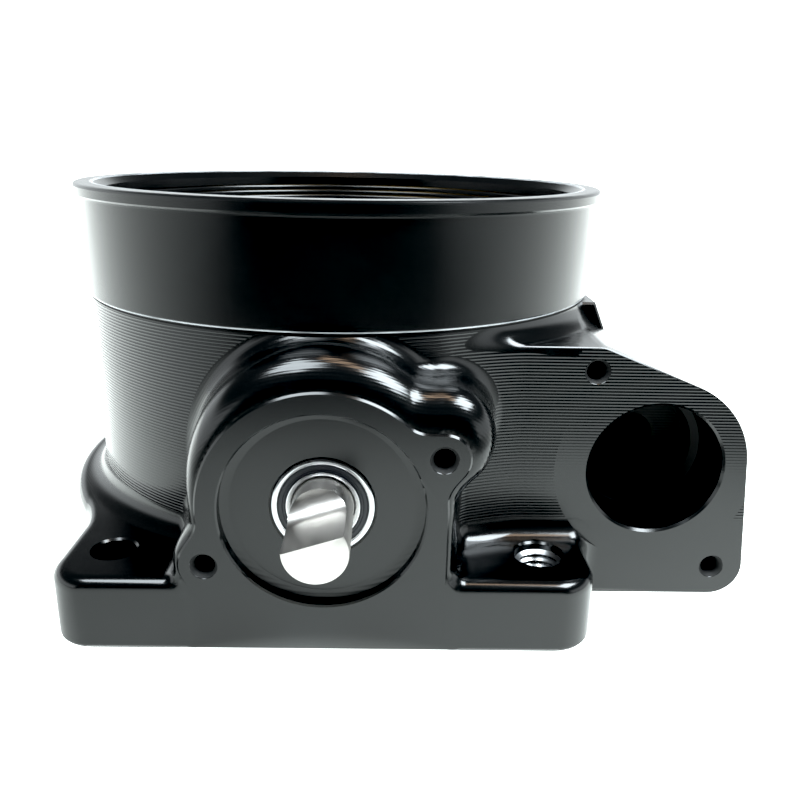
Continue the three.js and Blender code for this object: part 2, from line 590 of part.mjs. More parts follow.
insertGeometry.translate(boltX, -boltY, 0);
piece('flange_thread_insert', solid(insertGeometry), 0xb9bdc2, 0.3, 1);

// ---------------------------------------------------------------- bearings
// A ring profile about the shaft axis: closed loop of [radius, y].
function ring(rInner, rOuter, y0, y1, chamfer, sides) {
  return turnedOnShaft([
    [rInner, y0],
    [rOuter - chamfer, y0],
    [rOuter, y0 + chamfer],
    [rOuter, y1 - chamfer],
    [rOuter - chamfer, y1],
    [rInner, y1],
    [rInner, y0],
  ], sides);
}

function bearing(prefix, y0) {
  const y1 = y0 + BEARING_W;
  const midY = (y0 + y1) / 2;
  const innerBoreR = shaftR + FIT;
  const ringWall = (bearingR - innerBoreR - RING_SPACE) / 2;
  const innerOuterR = innerBoreR + ringWall;
  const outerInnerR = bearingR - ringWall;
  const pitchR = (innerOuterR + outerInnerR) / 2;
  const ballR = BALL_D / 2;
  const grooveR = ballR + BALL_CLEARANCE;
  const grooveGeometry = new THREE.TorusGeometry(pitchR, grooveR, 8, RING_SIDES);
  grooveGeometry.rotateX(Math.PI / 2);
  grooveGeometry.translate(0, midY, SHAFT_Z);
  const groove = solid(grooveGeometry);
  piece(`${prefix}_outer_ring`,
    ring(outerInnerR, bearingR, y0, y1, RING_CHAMFER, RING_SIDES).subtract(groove), 0xc9ccd0, 0.22, 1);
  piece(`${prefix}_inner_ring`,
    ring(innerBoreR, innerOuterR, y0, y1, 0, RING_SIDES).subtract(groove), 0xc9ccd0, 0.22, 1);
  // Balls held in one ribbon cage.
  let cage = ring(pitchR - CAGE_T / 2, pitchR + CAGE_T / 2, midY - CAGE_W / 2, midY + CAGE_W / 2,
    0, 2 * BALL_COUNT);
  for (let i = 0; i < BALL_COUNT; i += 1) {
    const a = ((i + 0.5) / BALL_COUNT) * 2 * Math.PI;
    const ballGeometry = new THREE.SphereGeometry(ballR, 8, 5);
    ballGeometry.translate(pitchR * Math.cos(a), midY, SHAFT_Z + pitchR * Math.sin(a));
    cage = cage.add(solid(ballGeometry));
  }
  piece(`${prefix}_ball_cage`, cage, 0x9aa0a6, 0.3, 1);
  // Rubber seals, held by the outer ring and clear of the inner one.
  const sealInnerR = innerOuterR + FIT;
  const sealOuterR = outerInnerR - FIT;
  piece(`${prefix}_front_seal`,
    ring(sealInnerR, sealOuterR, y0 + FIT, y0 + FIT + SEAL_T, 0, RING_SIDES), 0x14161c, 0.35, 0);
  piece(`${prefix}_rear_seal`,
    ring(sealInnerR, sealOuterR, y1 - FIT - SEAL_T, y1 - FIT, 0, RING_SIDES), 0x14161c, 0.35, 0);
}
const frontBearingY = recessFloorY + FIT;
const rearBearingY = rearSeatY + FIT;
bearing('front_bearing', frontBearingY);
bearing('rear_bearing', rearBearingY);

// ---------------------------------------------------------------- shaft
const shaftTipY = frontFaceY - TANG_LENGTH;
const flatsEndY = leverY + LEVER_T;
const threadR = THREAD_D / 2 - 2 * FIT;
const shaftEndY = flatsEndY + THREAD_LENGTH;
let shaft = turnedOnShaft([
  [0, shaftTipY],
  [shaftR, shaftTipY],
  [shaftR, flatsEndY],
  [threadR, flatsEndY],
  [threadR, shaftEndY],
  [0, shaftEndY],
], RING_SIDES);
// Two flats that drive the lever.
for (const side of [-1, 1]) {
  const low = SHAFT_Z + (side > 0 ? LEVER_FLATS / 2 : -SHAFT_D);
  const high = SHAFT_Z + (side > 0 ? SHAFT_D : -LEVER_FLATS / 2);
  shaft = shaft.subtract(block(-SHAFT_D, leverY - FIT, low, SHAFT_D, flatsEndY + FIT, high));
}
// Sensor tang: a flat with an end-mill run-out at its root, turned about the shaft axis.
function aboutShaft(geometry, degrees) {
  geometry.rotateY(-degrees * radians);
  geometry.translate(0, 0, SHAFT_Z);
  return solid(geometry);
}
const flatEndY = shaftTipY + TANG_FLAT_LENGTH;
const flatBox = new THREE.BoxGeometry(2 * SHAFT_D, TANG_FLAT_LENGTH + OVERRUN, SHAFT_D);
flatBox.translate(0, (shaftTipY - OVERRUN + flatEndY) / 2, TANG_FLAT_HEIGHT + SHAFT_D / 2);
shaft = shaft.subtract(aboutShaft(flatBox, TANG_FLAT_ANGLE));
const runout = new THREE.CylinderGeometry(TANG_RUNOUT_R, TANG_RUNOUT_R, 2 * SHAFT_D, SMALL_SIDES);
runout.rotateZ(Math.PI / 2);
runout.translate(0, flatEndY, TANG_FLAT_HEIGHT + TANG_RUNOUT_R);
shaft = shaft.subtract(aboutShaft(runout, TANG_FLAT_ANGLE));
// Slot for the blade.
const slotHalf = boreR + REST_GAP;
const slotBox = new THREE.BoxGeometry(2 * SHAFT_D, 2 * slotHalf, BLADE_T + 2 * SLOT_CLEARANCE);
shaft = shaft.subtract(aboutShaft(slotBox, -BLADE_CLOSED_ANGLE));
// Spot faces and holes for the blade screws.
const screwSeat = shaftR - BLADE_SCREW_SEAT_DEPTH;
for (const side of [-1, 1]) {
  const y = (side * BLADE_SCREW_SPACING) / 2;
  const spotR = BLADE_SCREW_HEAD_D / 2 + SPOT_FACE_CLEARANCE;
  const spot = new THREE.CylinderGeometry(spotR, spotR, SHAFT_D, RING_SIDES);
  spot.rotateX(Math.PI / 2);
  spot.translate(0, y, screwSeat + SHAFT_D / 2);
  shaft = shaft.subtract(aboutShaft(spot, -BLADE_CLOSED_ANGLE));
  const hole = new THREE.CylinderGeometry(BLADE_SCREW_D / 2 + FIT, BLADE_SCREW_D / 2 + FIT,
    2 * SHAFT_D, SMALL_SIDES);
  hole.rotateX(Math.PI / 2);
  hole.translate(0, y, 0);
  shaft = shaft.subtract(aboutShaft(hole, -BLADE_CLOSED_ANGLE));
}
piece('throttle_shaft', shaft, 0xd8dadc, 0.2, 1);

// ---------------------------------------------------------------- blade and its screws
const bladeSlab = new THREE.BoxGeometry(2 * BORE_D, 2 * BORE_D, BLADE_T);
let blade = aboutShaft(bladeSlab, -BLADE_CLOSED_ANGLE);
blade = blade.intersect(rod('z', 0, 0, 0, (boreR - BLADE_CLEARANCE) * Math.cos(Math.PI / BORE_SIDES),
  BODY_HEIGHT, BORE_SIDES));
for (const side of [-1, 1]) {
  const hole = new THREE.CylinderGeometry(BLADE_SCREW_D / 2 + FIT, BLADE_SCREW_D / 2 + FIT,
    2 * SHAFT_D, SMALL_SIDES);
  hole.rotateX(Math.PI / 2);
  hole.translate(0, (side * BLADE_SCREW_SPACING) / 2, 0);
  blade = blade.subtract(aboutShaft(hole, -BLADE_CLOSED_ANGLE));
}
piece('throttle_blade', blade, 0xb89a4a, 0.35, 1);

for (const side of [-1, 1]) {
  const y = (side * BLADE_SCREW_SPACING) / 2;
  const shankBottom = BLADE_SCREW_SEAT_DEPTH - shaftR;
  const headBottom = screwSeat + FIT;
  const headTop = headBottom + BLADE_SCREW_HEAD_H;
  const profile = [
    [0, shankBottom],
    [BLADE_SCREW_D / 2 - BLADE_SCREW_POINT, shankBottom],
    [BLADE_SCREW_D / 2, shankBottom + BLADE_SCREW_POINT],
    [BLADE_SCREW_D / 2, headBottom],
    [BLADE_SCREW_HEAD_D / 2, headBottom],
    [BLADE_SCREW_HEAD_D / 2, (headBottom + headTop) / 2],
    [BLADE_SCREW_HEAD_D / 2 - BLADE_SCREW_HEAD_H / 2, headTop],
    [0, headTop],
  ];
  const geometry = new THREE.LatheGeometry(profile.map(([r, z]) => new THREE.Vector2(r, z)), SMALL_SIDES);
  geometry.rotateX(Math.PI / 2);
  geometry.translate(0, y, 0);
  const socket = new THREE.CylinderGeometry(BLADE_SCREW_SOCKET_R, BLADE_SCREW_SOCKET_R,
    BLADE_SCREW_HEAD_H, 6);
  socket.rotateX(Math.PI / 2);
  socket.translate(0, y, headTop);
  const screw = aboutShaft(geometry, -BLADE_CLOSED_ANGLE)
    .subtract(aboutShaft(socket, -BLADE_CLOSED_ANGLE));
  piece(side < 0 ? 'blade_screw_front' : 'blade_screw_rear', screw, 0x8a8d90, 0.35, 1);
}

// ---------------------------------------------------------------- lever side
// Spring bushing between the rear bearing and the lever.
piece('spring_bushing',
  ring(shaftR + FIT, BUSHING_OD / 2, REAR_FACE_Y + 2 * FIT, leverY - 2 * FIT, RING_CHAMFER, RING_SIDES),
  0xd9d6cc, 0.55, 0);

// Lever: hub plate, grooved cable quadrant and a stop arm over the stop screw.
const quadrantSpan = [
  [0, SHAFT_Z],
  ...arc(0, SHAFT_Z, 2 * QUADRANT_R, QUADRANT_START, QUADRANT_END, 16),
];
const grooveHalf = QUADRANT_GROOVE_W / 2;
const quadrantMidY = leverY + QUADRANT_W / 2;
const quadrantRim = turnedOnShaft([
  [QUADRANT_RIM_R, leverY],
  [QUADRANT_R, leverY],
  [QUADRANT_R, quadrantMidY - grooveHalf],
  [QUADRANT_GROOVE_R, quadrantMidY - grooveHalf / 2],
  [QUADRANT_GROOVE_R, quadrantMidY + grooveHalf / 2],
  [QUADRANT_R, quadrantMidY + grooveHalf],
  [QUADRANT_R, leverY + QUADRANT_W],
  [QUADRANT_RIM_R, leverY + QUADRANT_W],
  [QUADRANT_RIM_R, leverY],
], BORE_SIDES).intersect(plate(quadrantSpan, leverY - OVERRUN, leverY + QUADRANT_W + OVERRUN));
const webOutline = [
  [0, SHAFT_Z],
  ...arc(0, SHAFT_Z, QUADRANT_RIM_R + 1, QUADRANT_START, QUADRANT_END, 12),
];
let lever = plate(webOutline, leverY, leverY + LEVER_T);
lever = lever.add(quadrantRim);
lever = lever.add(rod('y', 0, leverY, SHAFT_Z, LEVER_HUB_R, LEVER_T, RING_SIDES));
const stopFaceZ = STOP_SCREW_TOP_Z + FIT;
lever = lever.add(block(STOP_SCREW_X - STOP_SCREW_D / 2, leverY, stopFaceZ, 0, leverY + LEVER_T, SHAFT_Z));
// Lightening windows in the web.
const windowR = (QUADRANT_RIM_R + LEVER_HUB_R) / 2;
const windowStep = (QUADRANT_END - QUADRANT_START) / (WINDOW_COUNT + 1);
for (let i = 1; i <= WINDOW_COUNT; i += 1) {
  const a = (QUADRANT_START + i * windowStep) * radians;
  lever = lever.subtract(rod('y', windowR * Math.cos(a), leverY - OVERRUN,
    SHAFT_Z + windowR * Math.sin(a), WINDOW_D / 2, LEVER_T + 2 * OVERRUN, SMALL_SIDES));
}
// Double-flat hole on the shaft.
const leverHole = rod('y', 0, leverY - OVERRUN, SHAFT_Z, shaftR + FIT, LEVER_T + 2 * OVERRUN, RING_SIDES)
  .intersect(block(-SHAFT_D, leverY - 2 * OVERRUN, SHAFT_Z - LEVER_FLATS / 2 - FIT,
    SHAFT_D, leverY + LEVER_T + 2 * OVERRUN, SHAFT_Z + LEVER_FLATS / 2 + FIT));
lever = lever.subtract(leverHole);
// Seat for the cable's barrel end, open to the groove.
const barrelAngle = (QUADRANT_END - BARREL_INSET) * radians;
const barrelR = (QUADRANT_RIM_R + QUADRANT_GROOVE_R) / 2;
lever = lever.subtract(rod('y', barrelR * Math.cos(barrelAngle), leverY + LEVER_T / 2,
  SHAFT_Z + barrelR * Math.sin(barrelAngle), BARREL_D / 2, QUADRANT_W, SMALL_SIDES));
// Hole that takes the spring's hooked end.
const springEndAngle = ANCHOR_ANGLE + 90 + 360 * SPRING_TURNS;
const hookX = SPRING_MEAN_R * Math.cos(springEndAngle * radians);
const hookZ = SHAFT_Z + SPRING_MEAN_R * Math.sin(springEndAngle * radians);
lever = lever.subtract(rod('y', hookX, leverY - OVERRUN, hookZ, SPRING_WIRE_D / 2 + REST_GAP,
  LEVER_T + 2 * OVERRUN));
piece('throttle_lever', lever, 0x2a2c2f, 0.4, 0.8);

// Washer and nut on the threaded end.
const washerY = leverY + LEVER_T + FIT;
piece('lever_washer', ring(THREAD_D / 2, WASHER_OD / 2, washerY, washerY + WASHER_T, 0, RING_SIDES),
  0xb4b8bc, 0.35, 1);
const nutY = washerY + WASHER_T + FIT;
piece('lever_nut', nutAlong('y', 0, nutY, SHAFT_Z, NUT_AF, NUT_T, THREAD_D / 2), 0xb4b8bc, 0.3, 1);

// Return spring: a torsion coil from the anchor pin to the lever.
const springPoints = [];
const springStartY = REAR_FACE_Y + SPRING_WIRE_D / 2 + REST_GAP;
const startAngle = ANCHOR_ANGLE + 90;
const legLength = ANCHOR_R + ANCHOR_D;
for (const t of [1, 0.66, 0.33]) {
  const a = startAngle * radians;
  springPoints.push(new THREE.Vector3(
    SPRING_MEAN_R * Math.cos(a) + t * legLength * Math.sin(a),
    springStartY,
    SHAFT_Z + SPRING_MEAN_R * Math.sin(a) - t * legLength * Math.cos(a)));
}
const turnSteps = 18;
const coilSteps = Math.round(SPRING_TURNS * turnSteps);
for (let i = 0; i <= coilSteps; i += 1) {
  const a = (startAngle + (i / coilSteps) * 360 * SPRING_TURNS) * radians;
  springPoints.push(new THREE.Vector3(
    SPRING_MEAN_R * Math.cos(a),
    springStartY + (i / turnSteps) * SPRING_PITCH,
    SHAFT_Z + SPRING_MEAN_R * Math.sin(a)));
}
const springLast = springPoints[springPoints.length - 1];
springPoints.push(new THREE.Vector3(hookX, springLast.y + SPRING_WIRE_D, hookZ));
springPoints.push(new THREE.Vector3(hookX, leverY + LEVER_T / 2, hookZ));
const wireShape = new THREE.Shape(arc(0, 0, SPRING_WIRE_D / 2, 0, 300, 5)
  .map(([x, y]) => new THREE.Vector2(x, y)));
const springGeometry = new THREE.ExtrudeGeometry(wireShape, {
  steps: springPoints.length + SMALL_SIDES,
  bevelEnabled: false,
  extrudePath: new THREE.CatmullRomCurve3(springPoints),
});
piece('return_spring', solid(springGeometry), 0x6f7276, 0.35, 1);

// Anchor pin for the spring's straight leg.
piece('spring_anchor_pin', rod('y', anchorX, REAR_FACE_Y - anchorDepth + FIT, anchorZ, ANCHOR_D / 2,
  anchorDepth + SPRING_WIRE_D + ANCHOR_D), 0xb4b8bc, 0.3, 1);

// Idle stop screw with its jam nut.
const stopScrew = rod('z', STOP_SCREW_X, stopY, STOP_SCREW_TOP_Z - STOP_SCREW_LENGTH, STOP_SCREW_D / 2,
  STOP_SCREW_LENGTH).subtract(rod('z', STOP_SCREW_X, stopY,
  STOP_SCREW_TOP_Z - STOP_SCREW_LENGTH - OVERRUN, STOP_SOCKET_R, STOP_SCREW_D / 2 + OVERRUN, 6));
piece('idle_stop_screw', stopScrew, 0x3a3c3f, 0.4, 1);
piece('idle_stop_jam_nut', nutAlong('z', STOP_SCREW_X, stopY, lugTopZ + FIT, STOP_NUT_AF, STOP_NUT_T,
  STOP_SCREW_D / 2 + FIT), 0xb4b8bc, 0.3, 1);

// ---------------------------------------------------------------- assembly
// The origin is the middle of the underside of the whole part.
const group = new THREE.Group();
const extent = new THREE.Box3();
for (const mesh of pieces) {
  mesh.geometry.computeBoundingBox();
  extent.union(mesh.geometry.boundingBox);
}
const middle = extent.getCenter(new THREE.Vector3());
for (const mesh of pieces) {
  mesh.geometry.translate(-middle.x, -middle.y, -extent.min.z);
  group.add(mesh);
}
group.name = 'throttle_body';
export default group;
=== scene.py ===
"""Looks of a black billet throttle body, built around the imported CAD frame."""
import math

import bpy
import numpy as np
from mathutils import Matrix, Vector


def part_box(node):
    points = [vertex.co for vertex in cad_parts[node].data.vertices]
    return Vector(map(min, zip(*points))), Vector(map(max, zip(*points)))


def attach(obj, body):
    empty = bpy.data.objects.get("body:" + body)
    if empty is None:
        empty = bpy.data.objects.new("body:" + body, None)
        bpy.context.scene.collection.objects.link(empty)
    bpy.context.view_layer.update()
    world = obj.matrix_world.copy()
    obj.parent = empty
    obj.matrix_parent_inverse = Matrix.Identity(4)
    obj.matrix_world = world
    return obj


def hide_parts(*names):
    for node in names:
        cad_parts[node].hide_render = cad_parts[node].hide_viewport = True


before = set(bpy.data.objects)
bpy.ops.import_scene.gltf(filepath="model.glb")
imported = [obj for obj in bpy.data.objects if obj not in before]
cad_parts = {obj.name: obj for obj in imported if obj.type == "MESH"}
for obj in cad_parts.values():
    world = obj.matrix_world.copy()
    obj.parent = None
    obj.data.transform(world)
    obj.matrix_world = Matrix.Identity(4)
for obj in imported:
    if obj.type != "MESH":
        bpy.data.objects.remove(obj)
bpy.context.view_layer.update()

# ---- shared places
# Shapes are written in millimetres about the air bore's axis, with z = 0 on the gasket face.
MM = 0.001
shaft_lo, shaft_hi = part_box("throttle_shaft")
housing_lo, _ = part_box("throttle_housing")
FACE_Y = -58.6                       # sensor face
SHAFT_Z = 23.8
BORE_X = (shaft_lo.x + shaft_hi.x) / 2
BORE_Y = housing_lo.y - FACE_Y * MM
OFFSET = Vector((BORE_X, BORE_Y, 0.0))

BORE_R = 46.0
WALL_R = 49.5
TUBE_R = 49.8
RIM_R = 50.8
TUBE_Z = 49.7
RIM_Z = 66.8
TOP_Z = 69.0
FLANGE_T = 12.0
BASE_R = 55.5
FOOT_X = 43.6
FOOT_R = 7.0
BOSS_R = 19.2
VALVE = (55.5, 24.72)
VALVE_Y = -41.75
VALVE_SCREWS = ((44.0, 41.85), (67.7, 6.2))
SENSOR_SCREWS = ((18.15, 32.77), (-18.15, 14.83))
BOLTS = ((-35.2, -48.3), (35.2, -48.3), (-35.2, 48.3), (35.2, 48.3))
LEVER_Y = 65.1
REAR_Y = 56.1
STOP_X = -19.5
STOP_Y = LEVER_Y + 1.5
CLOSED_ANGLE = math.radians(5)       # blade off square to the bore when shut
SHAFT_R = 4.7625
SHAFT_TIP = FACE_Y - 11.9
SHAFT_END = LEVER_Y + 12
BLADE_SCREW_YS = (-16, 16)
BLADE_SCREW_R = 2.0
FLATS_ACROSS_CUT = 2.5               # taken off the shaft's diameter where the lever sits
BEARING_R = 7.9375
BEARING_POCKET_R = 7.99
BEARING_T = 3.967
RECESS_R = 15.7
RECESS_DEPTH = 2.5
VALVE_BORE_R = 11.5
VALVE_BORE_DEPTH = 17
SHAFT_TUNNEL_R = 5.26
PASSAGE_R = 3.5
INSERT_BOLT = 1                      # the front right flange hole
TAP_R = 1.65
TAP_PITCH = 0.7
TAP_DEPTH = 10
STOP_SCREW_R = 2.5
LEVER_T = 3
SPRING_R = 9.4
SPRING_TURNS = 3.4
SPRING_LEG = math.radians(-52)       # where the fixed leg meets its anchor pin


# ---- mesh helpers
def mesh_object(name, verts, faces):
    """An object in the scene, from lists or from arrays of points and quads."""
    mesh = bpy.data.meshes.new(name)
    if isinstance(verts, np.ndarray):
        corners = faces.size
        mesh.vertices.add(len(verts))
        mesh.vertices.foreach_set("co", verts.astype(np.float32).ravel())
        mesh.loops.add(corners)
        mesh.loops.foreach_set("vertex_index", faces.astype(np.int32).ravel())
        mesh.polygons.add(len(faces))
        mesh.polygons.foreach_set("loop_start", np.arange(0, corners, 4, dtype=np.int32))
        mesh.update(calc_edges=True)
    else:
        mesh.from_pydata(verts, [], faces)
    mesh.validate()
    mesh.update()
    obj = bpy.data.objects.new(name, mesh)
    bpy.context.scene.collection.objects.link(obj)
    return obj


# Two cross directions and the direction along each axis, right-handed.
BASIS = {"z": ((1, 0, 0), (0, 1, 0), (0, 0, 1)), "y": ((0, 0, 1), (1, 0, 0), (0, 1, 0)),
         "x": ((0, 1, 0), (0, 0, 1), (1, 0, 0))}


def lathe(name, axis, centre, profile, sides=128, closed=False):
    """Turned solid. profile is [radius, height along the axis]; closed makes a ring section."""
    u, v, w = (Vector(d) for d in BASIS[axis])
    c = Vector(centre)
    verts, faces, rings = [], [], []
    for r, h in profile:
        if r <= 1e-6:
            rings.append([len(verts)])
            verts.append(c + w * h)
            continue
        start = len(verts)
        for i in range(sides):
            a = 2 * math.pi * i / sides
            verts.append(c + u * (r * math.cos(a)) + v * (r * math.sin(a)) + w * h)
        rings.append(list(range(start, start + sides)))
    for low, high in zip(rings, rings[1:] + (rings[:1] if closed else [])):
        for i in range(sides):
            j = (i + 1) % sides
            if len(low) == 1 and len(high) == 1:
                continue
            if len(low) == 1:
                faces.append((low[0], high[j], high[i]))
            elif len(high) == 1:
                faces.append((low[i], low[j], high[0]))
            else:
                faces.append((low[i], low[j], high[j], high[i]))
    return mesh_object(name, [tuple(p) for p in verts], faces)


def rod(name, axis, centre, radius, length, sides=96, chamfer=0.0, chamfer_start=0.0):
    """Round bar from centre along the axis, with optional chamfers at its end and start."""
    profile = [(0, 0), (radius - chamfer_start, 0)]
    if chamfer_start:
        profile.append((radius, chamfer_start))
    profile.append((radius, length - chamfer))
    if chamfer:
        profile.append((radius - chamfer, length))
    profile.append((0, length))
    return lathe(name, axis, centre, profile, sides)


def skin(name, rings, flip=False):
    """Solid through a row of rings with equal counts of points, capped at both ends."""
    n = len(rings[0])
    last = n * (len(rings) - 1)
    faces = [tuple(range(n))[::-1], tuple(range(last, last + n))]
    for low in range(0, last, n):
        for i in range(n):
            j = (i + 1) % n
            faces.append((low + i, low + j, low + n + j, low + n + i))
    if flip:
        faces = [face[::-1] for face in faces]
    return mesh_object(name, [point for ring in rings for point in ring], faces)


def prism(name, plane, outline, low, high, edge_low=0.0, edge_high=0.0):
    """Outline of (a, b) points, counter-clockwise, extruded with chamfered ends."""
    pts = [Vector(p) for p in outline]
    n = len(pts)
    inward = []
    for i in range(n):
        before = (pts[i] - pts[i - 1]).normalized()
        after = (pts[(i + 1) % n] - pts[i]).normalized()
        bisect = Vector((-before.y - after.y, before.x + after.x))
        bisect.normalize()
        inward.append(bisect / max(0.3, bisect.dot(Vector((-before.y, before.x)))))
    layers = [(low + edge_low, 0), (high - edge_high, 0)]
    if edge_low:
        layers.insert(0, (low, edge_low))
    if edge_high:
        layers.append((high, edge_high))
    rings = []
    for h, inset in layers:
        ring = [p + d * inset for p, d in zip(pts, inward)]
        rings.append([(q.x, h, q.y) if plane == "xz" else (h, q.x, q.y) for q in ring])
    return skin(name, rings, flip=plane == "xz")


def boolean(target, others, operation):
    """Joins, cuts or intersects, and removes the tools."""
    bpy.context.view_layer.update()
    for tool in others:
        modifier = target.modifiers.new(operation, "BOOLEAN")
        modifier.operation = operation
        modifier.solver = "MANIFOLD"
        modifier.object = tool
    graph = bpy.context.evaluated_depsgraph_get()
    mesh = bpy.data.meshes.new_from_object(target.evaluated_get(graph))
    target.modifiers.clear()
    old = target.data
    target.data = mesh
    bpy.data.meshes.remove(old)
    for tool in others:
        data = tool.data
        bpy.data.objects.remove(tool)
        bpy.data.meshes.remove(data)
    return target


def cut(target, *tools):
    return boolean(target, tools, "DIFFERENCE")


def join(target, *tools):
    return boolean(target, tools, "UNION")


def keep(target, *tools):
    return boolean(target, tools, "INTERSECT")


def turn_about_shaft(obj, angle, lift=SHAFT_Z):
    """Turns a shape that was made about the origin, then lifts it to the shaft axis."""
    c, s = math.cos(angle), math.sin(angle)
    for vertex in obj.data.vertices:
        x, y, z = vertex.co
        vertex.co = (x * c + z * s, y, -x * s + z * c + lift)
    return obj


def paint(obj, material):
    obj.data.materials.clear()
    obj.data.materials.append(material)
    return obj


def shade(obj, angle=32):
    obj.data.polygons.foreach_set("use_smooth", [True] * len(obj.data.polygons))
    obj.data.set_sharp_from_angle(angle=math.radians(angle))
    return obj


def place(obj, body, slot, *nodes):
    """Millimetres about the bore to metres in the row's frame, parented to its body's empty, with the
    CAD nodes it stands for hidden.
    """
    for vertex in obj.data.vertices:
        vertex.co = vertex.co * MM + OFFSET
    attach(obj, body)
    if nodes:
        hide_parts(*nodes)
    return obj


def dress(obj, angle, material, body, slot, *nodes):
    """Smooth shading up to an angle, the piece's material, and its place."""
    shade(obj, angle)
    paint(obj, material)
    return place(obj, body, slot, *nodes)


def arc(cx, cy, r, start, end, steps):
    points = []
    for i in range(steps + 1):
        a = math.radians(start + (end - start) * i / steps)
        points.append((cx + r * math.cos(a), cy + r * math.sin(a)))
    return points


def hull(points):
    """Convex outline round the points, counter-clockwise."""
    pts = sorted(set((round(x, 5), round(y, 5)) for x, y in points))

    def half(seq):
        chain = []
        for p in seq:
            while len(chain) > 1:
                o, a = chain[-2], chain[-1]
                if (a[0] - o[0]) * (p[1] - o[1]) - (a[1] - o[1]) * (p[0] - o[0]) > 1e-9:
                    break
                chain.pop()
            chain.append(p)
        return chain[:-1]

    return half(pts) + half(pts[::-1])


# ---- blended housing body
def fillet(a, b, r):
    """Union of two fields with a concave round of radius r."""
    u = np.maximum(r - a, 0)
    v = np.maximum(r - b, 0)
    return np.maximum(r, np.minimum(a, b)) - np.sqrt(u * u + v * v)


def rounded(a, b, r):
    """Intersection of two fields with a convex round of radius r."""
    u = np.maximum(r + a, 0)
    v = np.maximum(r + b, 0)
    return np.minimum(-r, np.maximum(a, b)) + np.sqrt(u * u + v * v)


def outline_field(x, y, points):
    """Signed distance to a convex outline, counter-clockwise."""
    best = None
    inside = None
    n = len(points)
    for i in range(n):
        ax, ay = points[i]
        bx, by = points[(i + 1) % n]
        ex, ey = bx - ax, by - ay
        length = math.hypot(ex, ey)
        px, py = x - ax, y - ay
        t = np.clip((px * ex + py * ey) / (length * length), 0, 1)
        near = (px - t * ex) ** 2 + (py - t * ey) ** 2
        out = (px * ey - py * ex) / length
        best = near if best is None else np.minimum(best, near)
        inside = out if inside is None else np.maximum(inside, out)
    return np.where(inside > 0, 1.0, -1.0) * np.sqrt(best)


def dome(depth, over):
    """0 at the face to 1 at the shoulder's foot, along a quarter round."""
    t = np.clip(depth / over, 0, 1)
    return np.sqrt(np.maximum(1 - (1 - t) ** 2, 0))


BLOCK_OUTLINE = hull(
    [(20.0, 0.8), (20.0, 45.9), (35.0, 45.9)]
    + arc(*VALVE_SCREWS[0], 4.1, 0, 90, 8)
    + arc(*VALVE, 15.7, -40, 100, 40)
    + arc(*VALVE_SCREWS[1], 5.4, -90, 20, 14)
)


def field(x, y, z):
    """Below zero inside the housing's milled body, before its crisp cuts."""
    radial = np.sqrt(x * x + y * y)
    wall = rounded(radial - WALL_R, z - 60, 0.5)
    # Flange: round gasket land joined to the rectangle of the four feet.
    qx = np.abs(x) - (FOOT_X - FOOT_R)
    qy = np.abs(y) - (-FACE_Y - FOOT_R)
    rectangle = np.sqrt(np.maximum(qx, 0) ** 2 + np.maximum(qy, 0) ** 2)
    rectangle = rectangle + np.minimum(np.maximum(qx, qy), 0) - FOOT_R
    plan = fillet(rectangle, radial - BASE_R, 3.0)
    flange = rounded(plan, z - FLANGE_T, 2.0)
    body = fillet(wall, flange, 4.0)
    # Sensor boss with its rounded shoulder and two ears, each swelling behind the face.
    depth = y - FACE_Y - 0.35
    swell = dome(depth, 6.4)
    above = np.sqrt(x * x + np.maximum(z - SHAFT_Z - 3.7 * swell, 0) ** 2)
    boss = np.maximum(np.maximum(above - (BOSS_R - 0.15 + 2.0 * swell), -depth), y + 20)
    for (ear_x, ear_z), over, lift, grow in zip(SENSOR_SCREWS, (5.1, 2.5), (2.0, 0), (4.1, 1.2)):
        swell = dome(depth, over)
        ear = np.sqrt((x - ear_x) ** 2 + (z - ear_z - lift * swell) ** 2) - (3.95 + grow * swell)
        boss = fillet(boss, np.maximum(np.maximum(ear, -depth), y + 20), 2.6)
    body = fillet(body, boss, 2.6)
    # Idle valve block, blended to the wall, the foot and the tube.
    block = outline_field(x, z, BLOCK_OUTLINE)
    block = rounded(block, VALVE_Y - y, 0.9)
    block = rounded(block, y - (VALVE_Y + 26), 1.0)
    body = fillet(body, block, 3.8)
    # Rear boss.
    depth = REAR_Y - y
    swell = dome(depth, 4.0)
    rear = np.sqrt(x * x + (z - SHAFT_Z - 2.0 * swell) ** 2) - (14.9 + 4.0 * swell)
    rear = np.maximum(np.maximum(rear, -depth), 20 - y)
    body = fillet(body, rear, 3.0)
    # Lug of the idle stop screw.
    lug = np.sqrt((x - STOP_X) ** 2 + np.maximum(y - STOP_Y, 0) ** 2) - 5
    lug = rounded(lug, np.abs(z - 5.6) - 3, 0.7)
    lug = np.maximum(lug, 48 - y)
    body = fillet(body, lug, 2.0)
    # Gasket face and the common front plane.
    body = rounded(body, -z, 0.45)
    return rounded(body, FACE_Y - y, 0.35)


def threaded_cutter(mouth):
    """Cutter for a tapped hole along y: chamfered mouth and thread grooves."""
    chamfer = 0.5
    profile = [(0, -1), (TAP_R + chamfer + 1, -1), (TAP_R + chamfer, 0), (TAP_R + 0.1, chamfer)]
    for i in range(int((TAP_DEPTH - chamfer - 0.6) / TAP_PITCH)):
        h = chamfer + 0.1 + i * TAP_PITCH
        profile += [(TAP_R, h + 0.15 * TAP_PITCH), (TAP_R + 0.3, h + 0.55 * TAP_PITCH)]
    profile += [(TAP_R, TAP_DEPTH - 0.4), (0, TAP_DEPTH)]
    return lathe("tap", "y", mouth, profile, 40)


